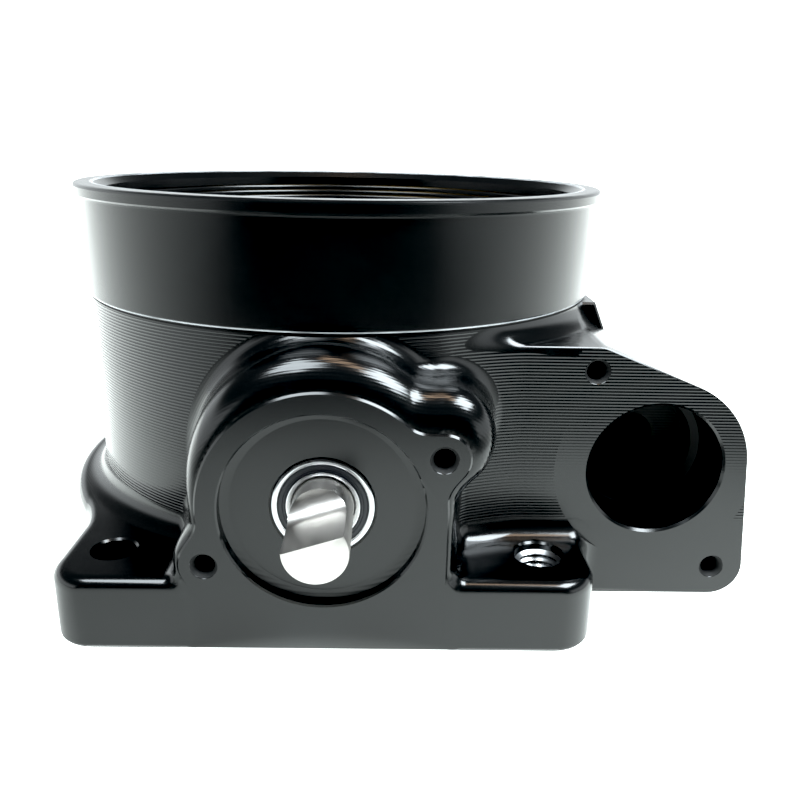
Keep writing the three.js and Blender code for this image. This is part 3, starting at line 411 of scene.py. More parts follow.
def face_outline():
    """Edge of the sensor face: round land and two ears in smooth curves, down to the foot."""
    def sheet(angle, reach):
        x = reach * math.cos(angle)
        z = SHAFT_Z + reach * math.sin(angle)
        land = math.hypot(x, max(z - SHAFT_Z, 0)) - BOSS_R
        for ear_x, ear_z in SENSOR_SCREWS:
            land = float(fillet(land, math.hypot(x - ear_x, z - ear_z) - 4.1, 3.2))
        return land

    points = []
    steps = 220
    halvings = 30
    for k in range(steps + 1):
        angle = math.radians(-46 + 272 * k / steps)
        near_r, far_r = 14.0, 34.0
        for _ in range(halvings):
            middle = (near_r + far_r) / 2
            if sheet(angle, middle) < 0:
                near_r = middle
            else:
                far_r = middle
        points.append((near_r * math.cos(angle), SHAFT_Z + near_r * math.sin(angle)))
    points = [p for p in points if p[1] > 3.0]
    return points + [(points[-1][0], 2.0), (points[0][0], 2.0)]


def gradient(points):
    step = 0.04
    out = np.empty_like(points)
    for k in range(3):
        ahead = points.copy()
        behind = points.copy()
        ahead[:, k] += step
        behind[:, k] -= step
        out[:, k] = (field(*ahead.T) - field(*behind.T)) / (2 * step)
    return out


def surface_net(step):
    """Quad mesh of the field's zero surface, its points drawn onto the surface."""
    low = np.array([-57.0, -60.0, -1.5])
    high = np.array([74.5, 73.0, 61.5])
    counts = np.ceil((high - low) / step).astype(int) + 1
    axes = [low[k] + step * np.arange(counts[k]) for k in range(3)]
    values = np.empty(counts, np.float32)
    x = axes[0][:, None, None].astype(np.float32)
    y = axes[1][None, :, None].astype(np.float32)
    slab = 16
    for k in range(0, counts[2], slab):
        z = axes[2][None, None, k:k + slab].astype(np.float32)
        values[:, :, k:k + slab] = field(x, y, z)
    inside = values < 0
    corners = [(i, j, k) for i in (0, 1) for j in (0, 1) for k in (0, 1)]
    size = counts - 1
    total = np.zeros(size, np.int8)
    for i, j, k in corners:
        total += inside[i:i + size[0], j:j + size[1], k:k + size[2]]
    cells = np.argwhere((total > 0) & (total < 8))
    at = {corner: values[tuple((cells + corner).T)] for corner in corners}
    sums = np.zeros((len(cells), 3))
    hits = np.zeros(len(cells))
    for a in corners:
        for k in range(3):
            if a[k]:
                continue
            b = tuple(v + (1 if n == k else 0) for n, v in enumerate(a))
            fa, fb = at[a], at[b]
            crossing = (fa < 0) != (fb < 0)
            point = np.array(a, float)[None, :].repeat(len(cells), 0)
            point[:, k] += np.where(crossing, fa / np.where(fa == fb, 1, fa - fb), 0)
            sums += point * crossing[:, None]
            hits += crossing
    points = low + step * (cells + sums / hits[:, None])
    number = np.full(size, -1, np.int32)
    number[tuple(cells.T)] = np.arange(len(cells))
    quads = []
    for k in range(3):
        p, q = [n for n in range(3) if n != k]
        where = np.argwhere(np.diff(inside, axis=k))
        ok = (where[:, p] > 0) & (where[:, q] > 0)
        where = where[ok & (where[:, p] < size[p]) & (where[:, q] < size[q])]
        filled = inside[tuple(where.T)]
        around = []
        for dp, dq in ((1, 1), (0, 1), (0, 0), (1, 0)):
            cell = where.copy()
            cell[:, p] -= dp
            cell[:, q] -= dq
            around.append(number[tuple(cell.T)])
        quad = np.stack(around, 1)
        turned = filled if k == 1 else ~filled
        quad[turned] = quad[turned][:, ::-1]
        quads.append(quad)
    # Newton steps onto the surface, each held to a share of the grid's step.
    for _ in range(4):
        g = gradient(points)
        scale = np.maximum((g * g).sum(1), 0.25)
        move = -(field(*points.T) / scale)[:, None] * g
        length = np.sqrt((move * move).sum(1))
        points += move * np.minimum(1, 0.4 * step / np.maximum(length, 1e-9))[:, None]
    return points, np.concatenate(quads)


def read(items, name, width, kind=np.float32):
    """One attribute of a mesh's vertices, loops or faces, as rows."""
    out = np.empty(len(items) * width, kind)
    items.foreach_get(name, out)
    return out.reshape(-1, width) if width > 1 else out


def dress_normals(obj):
    """Exact normals on the blended body; angle-based ones on the crisp cuts."""
    mesh = obj.data
    shade(obj)
    corner = read(mesh.corner_normals, "vector", 3)
    owner = read(mesh.loops, "vertex_index", 1, np.int32)
    points = read(mesh.vertices, "co", 3).astype(float)
    slope = gradient(points)
    slope /= np.maximum(np.sqrt((slope ** 2).sum(1)), 1e-9)[:, None]
    off = np.abs(field(*points.T))
    sizes = read(mesh.polygons, "loop_total", 1, np.int32)
    flat = np.repeat(read(mesh.polygons, "normal", 3), sizes, 0)
    agree = (slope[owner] * flat).sum(1)
    blended = (off[owner] < 0.05) & (agree > 0.75)
    corner[blended] = slope[owner][blended]
    # Crisp flats and bore-centred cylinders keep their own exact directions.
    square = (np.abs(flat).max(1) > 0.99985) & ~blended
    corner[square] = flat[square]
    spot = points[owner]
    ring = np.sqrt(spot[:, 0] ** 2 + spot[:, 1] ** 2)
    radial = spot / np.maximum(ring, 1e-6)[:, None]
    radial[:, 2] = 0
    facing = (radial * flat).sum(1)
    turned = np.zeros(len(owner), bool)
    for r in (TUBE_R, RIM_R, BORE_R):
        turned |= np.abs(ring - r) < 0.02
    turned &= (np.abs(facing) > 0.998) & (~blended | (spot[:, 2] > TUBE_Z))
    corner[turned] = radial[turned] * np.sign(facing[turned])[:, None]
    mesh.normals_split_custom_set(corner.tolist())


def housing_cutters():
    """Bore, sensor recess, screw and bolt holes, idle valve bore and its passages."""
    grooves = [(BORE_R + (0.16 if n % 3 == 1 else 0), 61.6 + 1.2 * (n // 3) + 0.3 * (n % 3))
               for n in range(12)]
    bore = [(0, -2), (BORE_R + 0.4, -2), (BORE_R + 0.4, 0), (BORE_R, 0.4), *grooves,
            (BORE_R, TOP_Z - 1.4), (BORE_R + 1.4, TOP_Z), (BORE_R + 2.4, TOP_Z + 1), (0, TOP_Z + 1)]
    tools = [lathe("bore", "z", (0, 0, 0), bore, 360)]
    floor_y = FACE_Y + RECESS_DEPTH
    r = BEARING_POCKET_R
    tools.append(lathe("recess", "y", (0, 0, SHAFT_Z), [
        (0, FACE_Y - 1), (RECESS_R + 1.25, FACE_Y - 1), (RECESS_R, FACE_Y + 0.25),
        (RECESS_R, FACE_Y + 2.1), (14.3, floor_y), (8.3, floor_y), (r, FACE_Y + 2.8),
        (r, FACE_Y + 6.6), (SHAFT_TUNNEL_R, FACE_Y + 6.6), (SHAFT_TUNNEL_R, REAR_Y - 4.1),
        (r, REAR_Y - 4.1), (r, REAR_Y - 0.3), (8.3, REAR_Y), (9.3, REAR_Y + 1),
        (0, REAR_Y + 1)], 128))
    for screws, face_y in ((SENSOR_SCREWS, FACE_Y), (VALVE_SCREWS, VALVE_Y)):
        tools += [threaded_cutter((x, face_y, z)) for x, z in screws]
    seat_y = VALVE_Y + VALVE_BORE_DEPTH
    r = VALVE_BORE_R
    tools.append(lathe("valve_bore", "y", (VALVE[0], 0, VALVE[1]), [
        (0, VALVE_Y - 1), (r + 1.4, VALVE_Y - 1), (r, VALVE_Y + 0.4), (r, VALVE_Y + 11),
        (10.2, VALVE_Y + 12), (10.2, seat_y - 0.4), (9.8, seat_y), (4.5, seat_y),
        (4.5, seat_y + 4.5), (0, seat_y + 4.5)], 128))
    tools.append(rod("upper_passage", "x", (23, VALVE_Y + 8.5, VALVE[1] + 8), PASSAGE_R, 32.5, 48))
    lower = rod("lower_passage", "x", (-28, 0, 0), PASSAGE_R, 28, 48)
    diagonal = 0.7071
    for vertex in lower.data.vertices:
        x, y, z = vertex.co
        vertex.co = ((x + z) * diagonal + VALVE[0], y + seat_y, (x - z) * diagonal + VALVE[1])
    tools.append(lower)
    for n, (x, y) in enumerate(BOLTS):
        r = 4.0 if n == INSERT_BOLT else 3.5
        tools.append(lathe("bolt", "z", (x, y, 0), [
            (0, -1), (r + 1.3, -1), (r, 0.3), (r, FLANGE_T - 0.35), (r + 0.35, FLANGE_T),
            (r + 0.35, FLANGE_T + 7), (0, FLANGE_T + 7)], 64))
    tools.append(rod("stop_hole", "z", (STOP_X, STOP_Y, 1), STOP_SCREW_R + 0.05, 9, 48))
    x, z = 12.35 * math.cos(SPRING_LEG), 12.35 * math.sin(SPRING_LEG)
    tools.append(rod("anchor_hole", "y", (x, REAR_Y - 6, SHAFT_Z + z), 1.55, 8, 32))
    return tools


def make_housing():
    """Blended body, with the turned tube and the crisp faces joined on, then the holes."""
    body = mesh_object("housing_body", *surface_net(0.5))
    tube = lathe("tube", "z", (0, 0, 0), [
        (0, TUBE_Z - 0.9), (WALL_R - 0.5, TUBE_Z - 0.9), (WALL_R - 0.5, TUBE_Z - 0.4),
        (TUBE_R - 0.14, TUBE_Z - 0.32), (TUBE_R, TUBE_Z + 0.08), (TUBE_R, RIM_Z - 0.45),
        (TUBE_R + 0.08, RIM_Z - 0.15), (TUBE_R + 0.3, RIM_Z), (RIM_R - 0.3, RIM_Z),
        (RIM_R, RIM_Z + 0.3), (RIM_R, TOP_Z - 0.55), (RIM_R - 0.16, TOP_Z - 0.16),
        (RIM_R - 0.55, TOP_Z), (0, TOP_Z)], 360)
    top = lathe("top", "z", (0, 0, 0), [
        (WALL_R - 0.35, TUBE_Z - 0.75), (WALL_R + 8, TUBE_Z - 0.75), (WALL_R + 8, 62),
        (WALL_R - 0.35, 62)], 360, closed=True)
    # The crisp faces stand proud of the blended ones by a hair, and so replace them.
    face = prism("face", "xz", face_outline(), FACE_Y - 0.015, FACE_Y + 3, edge_low=0.3)
    grow = 1.0015
    grown = [(VALVE[0] + (x - VALVE[0]) * grow, VALVE[1] + (z - VALVE[1]) * grow)
             for x, z in BLOCK_OUTLINE]
    plate = prism("plate", "xz", grown, VALVE_Y - 0.015, VALVE_Y + 2.5, edge_low=0.16)
    land = rod("land", "y", (VALVE[0], -80, VALVE[1]), 17.2, 80 + VALVE_Y - 0.03, 160)
    gusset = prism("gusset", "xz", [
        (40, 6), (63, 6), (59.4, 23.8), (48.9, 48.6), (40, 48.6)], -17.75, -7.75, 0.4, 0.4)
    cut(body, top, land)
    join(body, tube)
    join(body, face, plate, gusset)
    cut(body, *housing_cutters())
    dress_normals(body)
    return place(body, "housing", "anodised_housing", "throttle_housing")


# ---- materials
class Nodes:
    """A principled material with short calls for its procedural parts."""

    def __init__(self, name, colour, metallic, roughness, specular=0.5):
        self.material = bpy.data.materials.new(name)
        self.material.use_nodes = True
        self.tree = self.material.node_tree
        self.shader = self.tree.nodes["Principled BSDF"]
        self.shader.inputs["Base Color"].default_value = (*colour, 1)
        self.shader.inputs["Metallic"].default_value = metallic
        self.shader.inputs["Roughness"].default_value = roughness
        self.shader.inputs["Specular IOR Level"].default_value = specular
        self.colour = colour
        self.place = self.add("ShaderNodeTexCoord").outputs["Object"]
        self.normal = None

    def add(self, kind, **values):
        node = self.tree.nodes.new(kind)
        for key, value in values.items():
            setattr(node, key, value)
        return node

    def link(self, source, target):
        self.tree.links.new(source, target)

    def math(self, operation, a, b=None, c=None):
        node = self.add("ShaderNodeMath", operation=operation)
        for slot, value in enumerate((a, b, c)):
            if value is None:
                continue
            if isinstance(value, (int, float)):
                node.inputs[slot].default_value = value
            else:
                self.link(value, node.inputs[slot])
        return node.outputs[0]

    def below(self, a, b):
        return self.math("LESS_THAN", a, b)

    def above(self, a, b):
        return self.math("GREATER_THAN", a, b)

    def product(self, first, *rest):
        for other in rest:
            first = self.math("MULTIPLY", first, other)
        return first

    def without(self, value, mask):
        return self.math("MULTIPLY", value, self.math("SUBTRACT", 1.0, mask))

    def size(self, value):
        return self.math("ABSOLUTE", value)

    def wave(self, value, pitch):
        return self.math("SINE", self.math("MULTIPLY", value, 2 * math.pi / pitch))

    def noise(self, scale, detail=2.0, stretch=(1, 1, 1)):
        mapping = self.add("ShaderNodeMapping")
        mapping.inputs["Scale"].default_value = stretch
        self.link(self.place, mapping.inputs["Vector"])
        noise = self.add("ShaderNodeTexNoise")
        noise.inputs["Scale"].default_value = scale
        noise.inputs["Detail"].default_value = detail
        self.link(mapping.outputs[0], noise.inputs["Vector"])
        return noise.outputs["Fac"]

    def span(self, value, low, high, out_low, out_high):
        node = self.add("ShaderNodeMapRange")
        for slot, number in enumerate((low, high, out_low, out_high), 1):
            node.inputs[slot].default_value = number
        self.link(value, node.inputs[0])
        return node.outputs[0]

    def bump(self, height, distance, strength=1.0):
        node = self.add("ShaderNodeBump")
        node.inputs["Distance"].default_value = distance
        node.inputs["Strength"].default_value = strength
        self.link(height, node.inputs["Height"])
        if self.normal is not None:
            self.link(self.normal, node.inputs["Normal"])
        self.normal = node.outputs[0]
        self.link(self.normal, self.shader.inputs["Normal"])

    def roughness(self, value):
        self.link(value, self.shader.inputs["Roughness"])

    def rough_noise(self, scale, low, high, stretch=(1, 1, 1)):
        self.roughness(self.span(self.noise(scale, 3, stretch), 0.3, 0.7, low, high))

    def tint(self, value, other):
        mix = self.add("ShaderNodeMix", data_type="RGBA")
        mix.inputs["A"].default_value = (*self.colour, 1)
        mix.inputs["B"].default_value = (*other, 1)
        self.link(value, mix.inputs["Factor"])
        self.link(mix.outputs["Result"], self.shader.inputs["Base Color"])

    def axis(self, name):
        split = self.add("ShaderNodeSeparateXYZ")
        self.link(self.place, split.inputs[0])
        return split.outputs[name]

    def radius(self, centre, across):
        """Distance from a line through centre, along the third axis."""
        squares = []
        for name, middle in zip(across, centre):
            part = self.math("SUBTRACT", self.axis(name), middle)
            squares.append(self.math("MULTIPLY", part, part))
        return self.math("SQRT", self.math("ADD", *squares))


SHAFT_AXIS = (BORE_X, SHAFT_Z * MM)
BORE_AXIS = (BORE_X, BORE_Y)


def anodised():
    """Black anodised billet: scalloped lower wall, turned tube, glossy blends."""
    m = Nodes("black_anodised", (0.0010, 0.0014, 0.0016), 0.0, 0.3)
    z = m.axis("Z")
    y = m.axis("Y")
    radius = m.radius(BORE_AXIS, "XY")
    normal = m.add("ShaderNodeSeparateXYZ")
    m.link(m.add("ShaderNodeNewGeometry").outputs["Normal"], normal.inputs[0])
    up = normal.outputs["Z"]
    upright = m.size(up)
    frontal = m.size(normal.outputs["Y"])
    wall_top, blend_top = 0.0489, 0.0492

    def near(x_mm, z_mm, r_mm):
        return m.below(m.radius((BORE_X + x_mm * MM, z_mm * MM), "XZ"), r_mm * MM)

    def behind(y_mm):
        return m.above(y, BORE_Y + y_mm * MM)

    front = m.below(y, BORE_Y - 30 * MM)
    walls = m.product(
        m.below(upright, 0.06), m.span(z, 0.0145, 0.0165, 0, 1), m.below(z, wall_top),
        behind(FACE_Y + 4.0), m.above(radius, (BORE_R + 1.0) * MM))
    shoulder = m.math("MAXIMUM", near(0, 27.9, 23.4), near(18.15, 34.8, 8.4))
    walls = m.without(walls, m.product(shoulder, front))
    fade = m.span(z, 0.023, 0.037, 1, 0)
    walls = m.without(walls, m.product(near(*VALVE, 17.3), fade, front))
    strong = m.math("MAXIMUM", m.span(z, 0.020, 0.041, 0.14, 1), m.span(z, 0.0165, 0.021, 0.7, 0))
    walls = m.product(walls, strong)
    # Ball-mill scallops, one each half millimetre of height.
    drift = m.math("MULTIPLY", m.noise(60), 0.00004)
    phase = m.math("FRACT", m.math("DIVIDE", m.math("ADD", z, drift), 0.00054))
    bowl = m.size(m.math("SUBTRACT", phase, 0.5))
    m.bump(m.product(bowl, bowl, walls), 0.00026)
    # Fine turning lines in the bore and on the tube, and a matte grain all over.
    m.bump(m.product(m.wave(z, 0.00022), m.above(z, 0.0499)), 0.0000012)
    m.bump(m.noise(5200), 0.0000025)
    # Tool passes over the shoulder of the sensor boss.
    passes = m.wave(m.math("ADD", y, m.math("MULTIPLY", z, 0.3)), 0.00042)
    m.bump(m.product(passes, m.below(z, wall_top), shoulder, front, m.below(frontal, 0.985),
                     behind(FACE_Y + 0.6)), 0.0000035)
    rough = m.span(m.noise(90, 3), 0.3, 0.7, 0.22, 0.26)
    rough = m.math("SUBTRACT", rough, m.math("MULTIPLY", walls, 0.04))
    # Blends and foot tops are glossier, and the insides of holes are matte.
    curved = m.math("SUBTRACT", 1.0, m.math("MAXIMUM", upright, frontal))
    blend = m.product(m.span(curved, 0.02, 0.25, 0, 1), m.below(z, blend_top))
    tops = m.product(m.above(up, 0.5), m.below(z, blend_top))
    blend = m.without(m.math("MAXIMUM", blend, tops), walls)
    rough = m.math("SUBTRACT", rough, m.math("MULTIPLY", blend, 0.075))
    holes = m.product(near(*VALVE, VALVE_BORE_R - 0.02), behind(VALVE_Y + 0.5),
                      m.below(y, BORE_Y + (VALVE_Y + 22.5) * MM))
    for x_mm, z_mm in VALVE_SCREWS + SENSOR_SCREWS:
        holes = m.math("MAXIMUM", holes, m.product(near(x_mm, z_mm, 2.1), front))
    m.roughness(m.math("ADD", rough, m.math("MULTIPLY", holes, 0.5)))
    # Cutter passes across the foot tops.
    slant = m.wave(m.math("ADD", m.axis("X"), m.math("MULTIPLY", y, 0.6)), 0.0005)
    m.bump(m.product(slant, m.above(up, 0.97), tops), 0.000004)
    wear = m.without(m.span(m.noise(240, 4), 0.6, 0.85, 0, 0.35), holes)
    m.tint(wear, (0.0036, 0.0048, 0.0052))
    # Painted highlight lines, in a bare-metal grey, on the tube's lower edge and on the rim's inner
    # edge.
    lower_edge_highlight = m.product(m.above(z, (TUBE_Z - 0.3) * MM), m.below(z, (TUBE_Z - 0.06) * MM),
                           m.above(radius, (TUBE_R - 0.2) * MM))
    rim_edge_highlight = m.product(m.above(z, (TOP_Z - 0.2) * MM), m.below(radius, (BORE_R + 1.85) * MM))
    edge = m.product(m.math("MAXIMUM", lower_edge_highlight, rim_edge_highlight),
                     m.span(m.noise(150, 3), 0.3, 0.6, 0.35, 1))
    # The painted highlight lines are mixed over the base colour.
    under = m.shader.inputs["Base Color"].links[0].from_socket
    edge_highlight_mix = m.add("ShaderNodeMix", data_type="RGBA")
    edge_highlight_mix.inputs["B"].default_value = (0.36, 0.38, 0.4, 1)
    m.link(under, edge_highlight_mix.inputs["A"])
    m.link(edge, edge_highlight_mix.inputs["Factor"])
    m.link(edge_highlight_mix.outputs["Result"], m.shader.inputs["Base Color"])
    return m.material


def metal(name, colour, rough, across=None, centre=None, pitch=0.0001, depth=0.0000008,
          stretch=(1, 1, 1), tint=None):
    """Turned or drawn metal with ring marks about a line, or streaks where across is None."""
    m = Nodes(name, colour, 1.0, rough)
    if across:
        m.bump(m.wave(m.radius(centre, across), pitch), depth)
    m.bump(m.noise(900, 3, stretch), 0.000004)
    m.rough_noise(260, rough * 0.75, rough * 1.3, stretch)
    m.tint(m.span(m.noise(130, 4), 0.45, 0.75, 0, 0.5), tint or tuple(c * 0.72 for c in colour))
    return m.material


def rubber():
    m = Nodes("seal_rubber", (0.002, 0.003, 0.006), 0.0, 0.3)
    m.bump(m.wave(m.radius(SHAFT_AXIS, "XZ"), 0.0004), 0.000004)
    m.bump(m.noise(3000), 0.000004)
    m.rough_noise(400, 0.32, 0.44)
    m.tint(m.span(m.noise(700, 3), 0.5, 0.8, 0, 0.4), (0.005, 0.007, 0.012))
    return m.material


def acetal():
    m = Nodes("bushing_acetal", (0.62, 0.59, 0.5), 0.0, 0.42)
    m.bump(m.wave(m.axis("Y"), 0.00025), 0.000004)
    m.rough_noise(300, 0.36, 0.5)
    m.tint(m.span(m.noise(180, 4), 0.5, 0.8, 0, 0.5), (0.5, 0.46, 0.37))
    return m.material


BLACK = anodised()
SHAFT_STEEL = metal("shaft_stainless", (0.62, 0.6, 0.575), 0.36, stretch=(1, 0.2, 1))
RING_STEEL = metal("bearing_steel", (0.66, 0.67, 0.69), 0.18, "XZ", SHAFT_AXIS, 0.00018)
INSERT_STEEL = metal("insert_wire", (0.42, 0.43, 0.44), 0.3, stretch=(1, 1, 4))
BRASS = metal("blade_brass", (0.62, 0.42, 0.16), 0.3, stretch=(0.4, 3, 1),
              tint=(0.42, 0.27, 0.11))
ZINC = metal("zinc_plate", (0.62, 0.63, 0.64), 0.27, "XZ", SHAFT_AXIS, 0.0004)
SPRING = metal("spring_wire", (0.36, 0.36, 0.37), 0.3, stretch=(1, 3, 1))
OXIDE = metal("black_oxide", (0.05, 0.052, 0.056), 0.34, stretch=(1, 1, 3))
BUTTON = metal("button_screw", (0.4, 0.41, 0.42), 0.3)
LEVER_BLACK = metal("lever_anodised", (0.03, 0.031, 0.034), 0.33, "XZ", SHAFT_AXIS, 0.0005,
                    0.000002)
RUBBER = rubber()
ACETAL = acetal()


CAD_MATERIALS = {
    "throttle_blade": BRASS, "blade_screw_front": BUTTON, "blade_screw_rear": BUTTON,
    "spring_bushing": ACETAL, "throttle_lever": LEVER_BLACK, "lever_washer": ZINC,
    "lever_nut": ZINC, "return_spring": SPRING, "spring_anchor_pin": ZINC,
    "idle_stop_screw": OXIDE, "idle_stop_jam_nut": ZINC, "throttle_shaft": SHAFT_STEEL,
    "flange_thread_insert": INSERT_STEEL, "throttle_housing": BLACK,
}
for node_name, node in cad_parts.items():
    if "seal" in node_name:
        paint(node, RUBBER)
    elif "bearing" in node_name:
        paint(node, RING_STEEL)
    else:
        paint(node, CAD_MATERIALS[node_name])

paint(make_housing(), BLACK)


# ---- shaft and bearings
def make_shaft():
    profile = [(0, SHAFT_TIP), (SHAFT_R - 0.35, SHAFT_TIP), (SHAFT_R - 0.1, SHAFT_TIP + 0.08),
               (SHAFT_R, SHAFT_TIP + 0.35), (SHAFT_R, LEVER_Y + 2.7), (SHAFT_R - 0.3, LEVER_Y + 3)]
    thread_r = 3.9
    for i in range(9):
        h = LEVER_Y + 3.1 + i * 0.95
        profile += [(thread_r - 0.45, h), (thread_r, h + 0.45)]
    profile += [(thread_r - 0.45, SHAFT_END - 0.3), (thread_r - 0.8, SHAFT_END), (0, SHAFT_END)]
    shaft = lathe("shaft", "y", (0, 0, 0), profile, 128)
    flat_end = SHAFT_TIP + 7.6
    flat_z = 1.33
    scoop_r = 3.2
    flat = prism("flat", "yz", [(SHAFT_TIP - 1, flat_z), (flat_end, flat_z), (flat_end, 6),
                                (SHAFT_TIP - 1, 6)], -6, 6)
    scoop = lathe("scoop", "x", (0, flat_end, flat_z + scoop_r), [
        (0, -6), (scoop_r, -6), (scoop_r, 6), (0, 6)], 96)
    tip_cut = join(flat, scoop)
    turn_about_shaft(tip_cut, math.radians(-17.8), lift=0)
    slot_cut = prism("slot", "xz", [(-6, -1.05), (6, -1.05), (6, 1.05), (-6, 1.05)], -46.3, 46.3)
    holes = []
    for y in BLADE_SCREW_YS:
        holes.append(rod("spot", "z", (0, y, 3.86), 3.9, 3, 64))
        holes.append(rod("screw_hole", "z", (0, y, -6), BLADE_SCREW_R + 0.05, 12, 48))
    for obj in [slot_cut] + holes:
        turn_about_shaft(obj, CLOSED_ANGLE, lift=0)
    flats = []
    half = (2 * SHAFT_R - FLATS_ACROSS_CUT) / 2
    for sign in (1, -1):
        low, high = sorted((sign * half, sign * 6))
        flats.append(prism("drive_flat", "xz", [(-6, low), (6, low), (6, high), (-6, high)],
                           LEVER_Y - 0.05, LEVER_Y + 3.05))
    cut(shaft, tip_cut, slot_cut, *holes, *flats)
    turn_about_shaft(shaft, 0)
    return dress(shaft, 34, SHAFT_STEEL, "throttle", "shaft_steel", "throttle_shaft")


make_shaft()


def make_bearing(side, start):
    """Outer ring, inner ring and outside seal, with real chamfers and raceway lands."""
    end = start + BEARING_T
    outer = lathe(f"{side}_ring_outer", "y", (0, 0, SHAFT_Z), [
        (BEARING_R, start + 0.35), (7.86, start + 0.1), (7.62, start), (7.12, start),
        (7.0, start + 0.1), (6.99, start + 0.45), (7.12, start + 0.6), (7.12, end - 0.6),
        (6.99, end - 0.45), (7.0, end - 0.1), (7.12, end), (7.62, end), (7.86, end - 0.1),
        (BEARING_R, end - 0.35)][::-1], 160, closed=True)
    inner = lathe(f"{side}_ring_inner", "y", (0, 0, SHAFT_Z), [
        (5.76, start + 0.12), (5.66, start), (5.36, start), (5.0, start + 0.35),
        (4.8125, start + 0.65), (4.8125, end - 0.65), (5.0, end - 0.35), (5.36, end),
        (5.66, end), (5.76, end - 0.12)][::-1], 160, closed=True)
    for obj, body, node in ((outer, "housing", "outer_ring"), (inner, "throttle", "inner_ring")):
        dress(obj, 50, RING_STEEL, body, "bearing_steel", f"{side}_bearing_{node}")
    face, back, step = start + 0.08, start + 0.38, 0.12
    if side == "rear":
        face, back, step = end - 0.08, end - 0.38, -0.12
    seal = lathe(f"{side}_seal_outside", "y", (0, 0, SHAFT_Z), [
        (5.82, back), (5.82, face + step), (5.95, face + step * 0.5), (6.05, face + step),
        (6.2, face + step), (6.3, face), (6.78, face), (6.86, face + step), (6.94, face + step),
        (6.94, back)], 160, closed=True)
    dress(seal, 50, RUBBER, "housing", "seal_rubber",
          f"{side}_bearing_{side}_seal")


make_bearing("front", FACE_Y + RECESS_DEPTH + 0.05)
make_bearing("rear", REAR_Y - BEARING_T - 0.05)


# ---- thread insert
def make_insert():
    """A helical coil of diamond wire, wound down the tapped hole."""
    pitch = 1.25
    steps = 44
    turns = 7.6
    x, y = BOLTS[INSERT_BOLT]
    section = [(3.93, -0.56), (3.93, 0.56), (3.3, 0.0)]
    rings = []
    for i in range(int(turns * steps) + 1):
        a = 2 * math.pi * i / steps
        z = 10.4 - pitch * i / steps
        rings.append([(x + r * math.cos(a), y + r * math.sin(a), z + h) for r, h in section])
    coil = skin("insert_coil", rings)
    return dress(coil, 40, INSERT_STEEL, "housing", "insert_steel", "flange_thread_insert")


make_insert()


# ---- blade and its screws
def make_blade():
    slab = prism("blade_plate", "xz", [(-60, -1), (60, -1), (60, 1), (-60, 1)], -60, 60)
    turn_about_shaft(slab, CLOSED_ANGLE)
    limit = rod("limit", "z", (0, 0, 0), BORE_R - 0.14, 60, 360)
    keep(slab, limit)
    holes = []
    for y in BLADE_SCREW_YS:
        hole = rod("hole", "z", (0, y, -6), BLADE_SCREW_R + 0.05, 12, 48)
        holes.append(turn_about_shaft(hole, CLOSED_ANGLE))
    cut(slab, *holes)
    return dress(slab, 30, BRASS, "throttle", "blade_brass", "throttle_blade")


make_blade()


def make_blade_screw(side, y):
    head_low = SHAFT_R - 0.9 + 0.05
    top = head_low + 2
    profile = [(0, 0.9 - SHAFT_R), (1.6, 0.9 - SHAFT_R), (2.0, 1.3 - SHAFT_R), (2.0, head_low - 0.4),
               (2.0, head_low), (3.3, head_low), (3.5, head_low + 0.2)]
    profile += [(3.5 - 2.0 * (1 - math.cos(a)), head_low + 0.35 + 1.65 * math.sin(a))
                for a in [math.radians(10 * k) for k in range(10)]]
    profile.append((0, top))
    screw = lathe(f"button_screw_{side}", "z", (0, y, 0), profile, 96)
    socket = lathe("socket", "z", (0, y, 0), [(0, top - 1.3), (1.45, top - 1.3), (1.45, top + 1),
                                              (0, top + 1)], 6)
    cut(screw, socket)
    turn_about_shaft(screw, CLOSED_ANGLE)
    return dress(screw, 34, BUTTON, "throttle", "screw_steel", f"blade_screw_{side}")


for side, y in zip(("front", "rear"), BLADE_SCREW_YS):
    make_blade_screw(side, y)


# ---- lever side
def make_bushing():
    y0, y1 = REAR_Y + 0.1, LEVER_Y - 0.1
    bushing = lathe("bushing", "y", (0, 0, SHAFT_Z), [
        (4.8125, y0), (7.2, y0), (7.5, y0 + 0.3), (7.5, y0 + 1.0), (7.2, y0 + 1.2),
        (7.2, y1 - 1.2), (7.5, y1 - 1.0), (7.5, y1 - 0.3), (7.2, y1), (4.8125, y1)],
        128, closed=True)
    return dress(bushing, 34, ACETAL, "throttle", "bushing_plastic", "spring_bushing")


def sector(radius, start, end, steps=60):
    return [(0, SHAFT_Z)] + arc(0, SHAFT_Z, radius, start, end, steps)


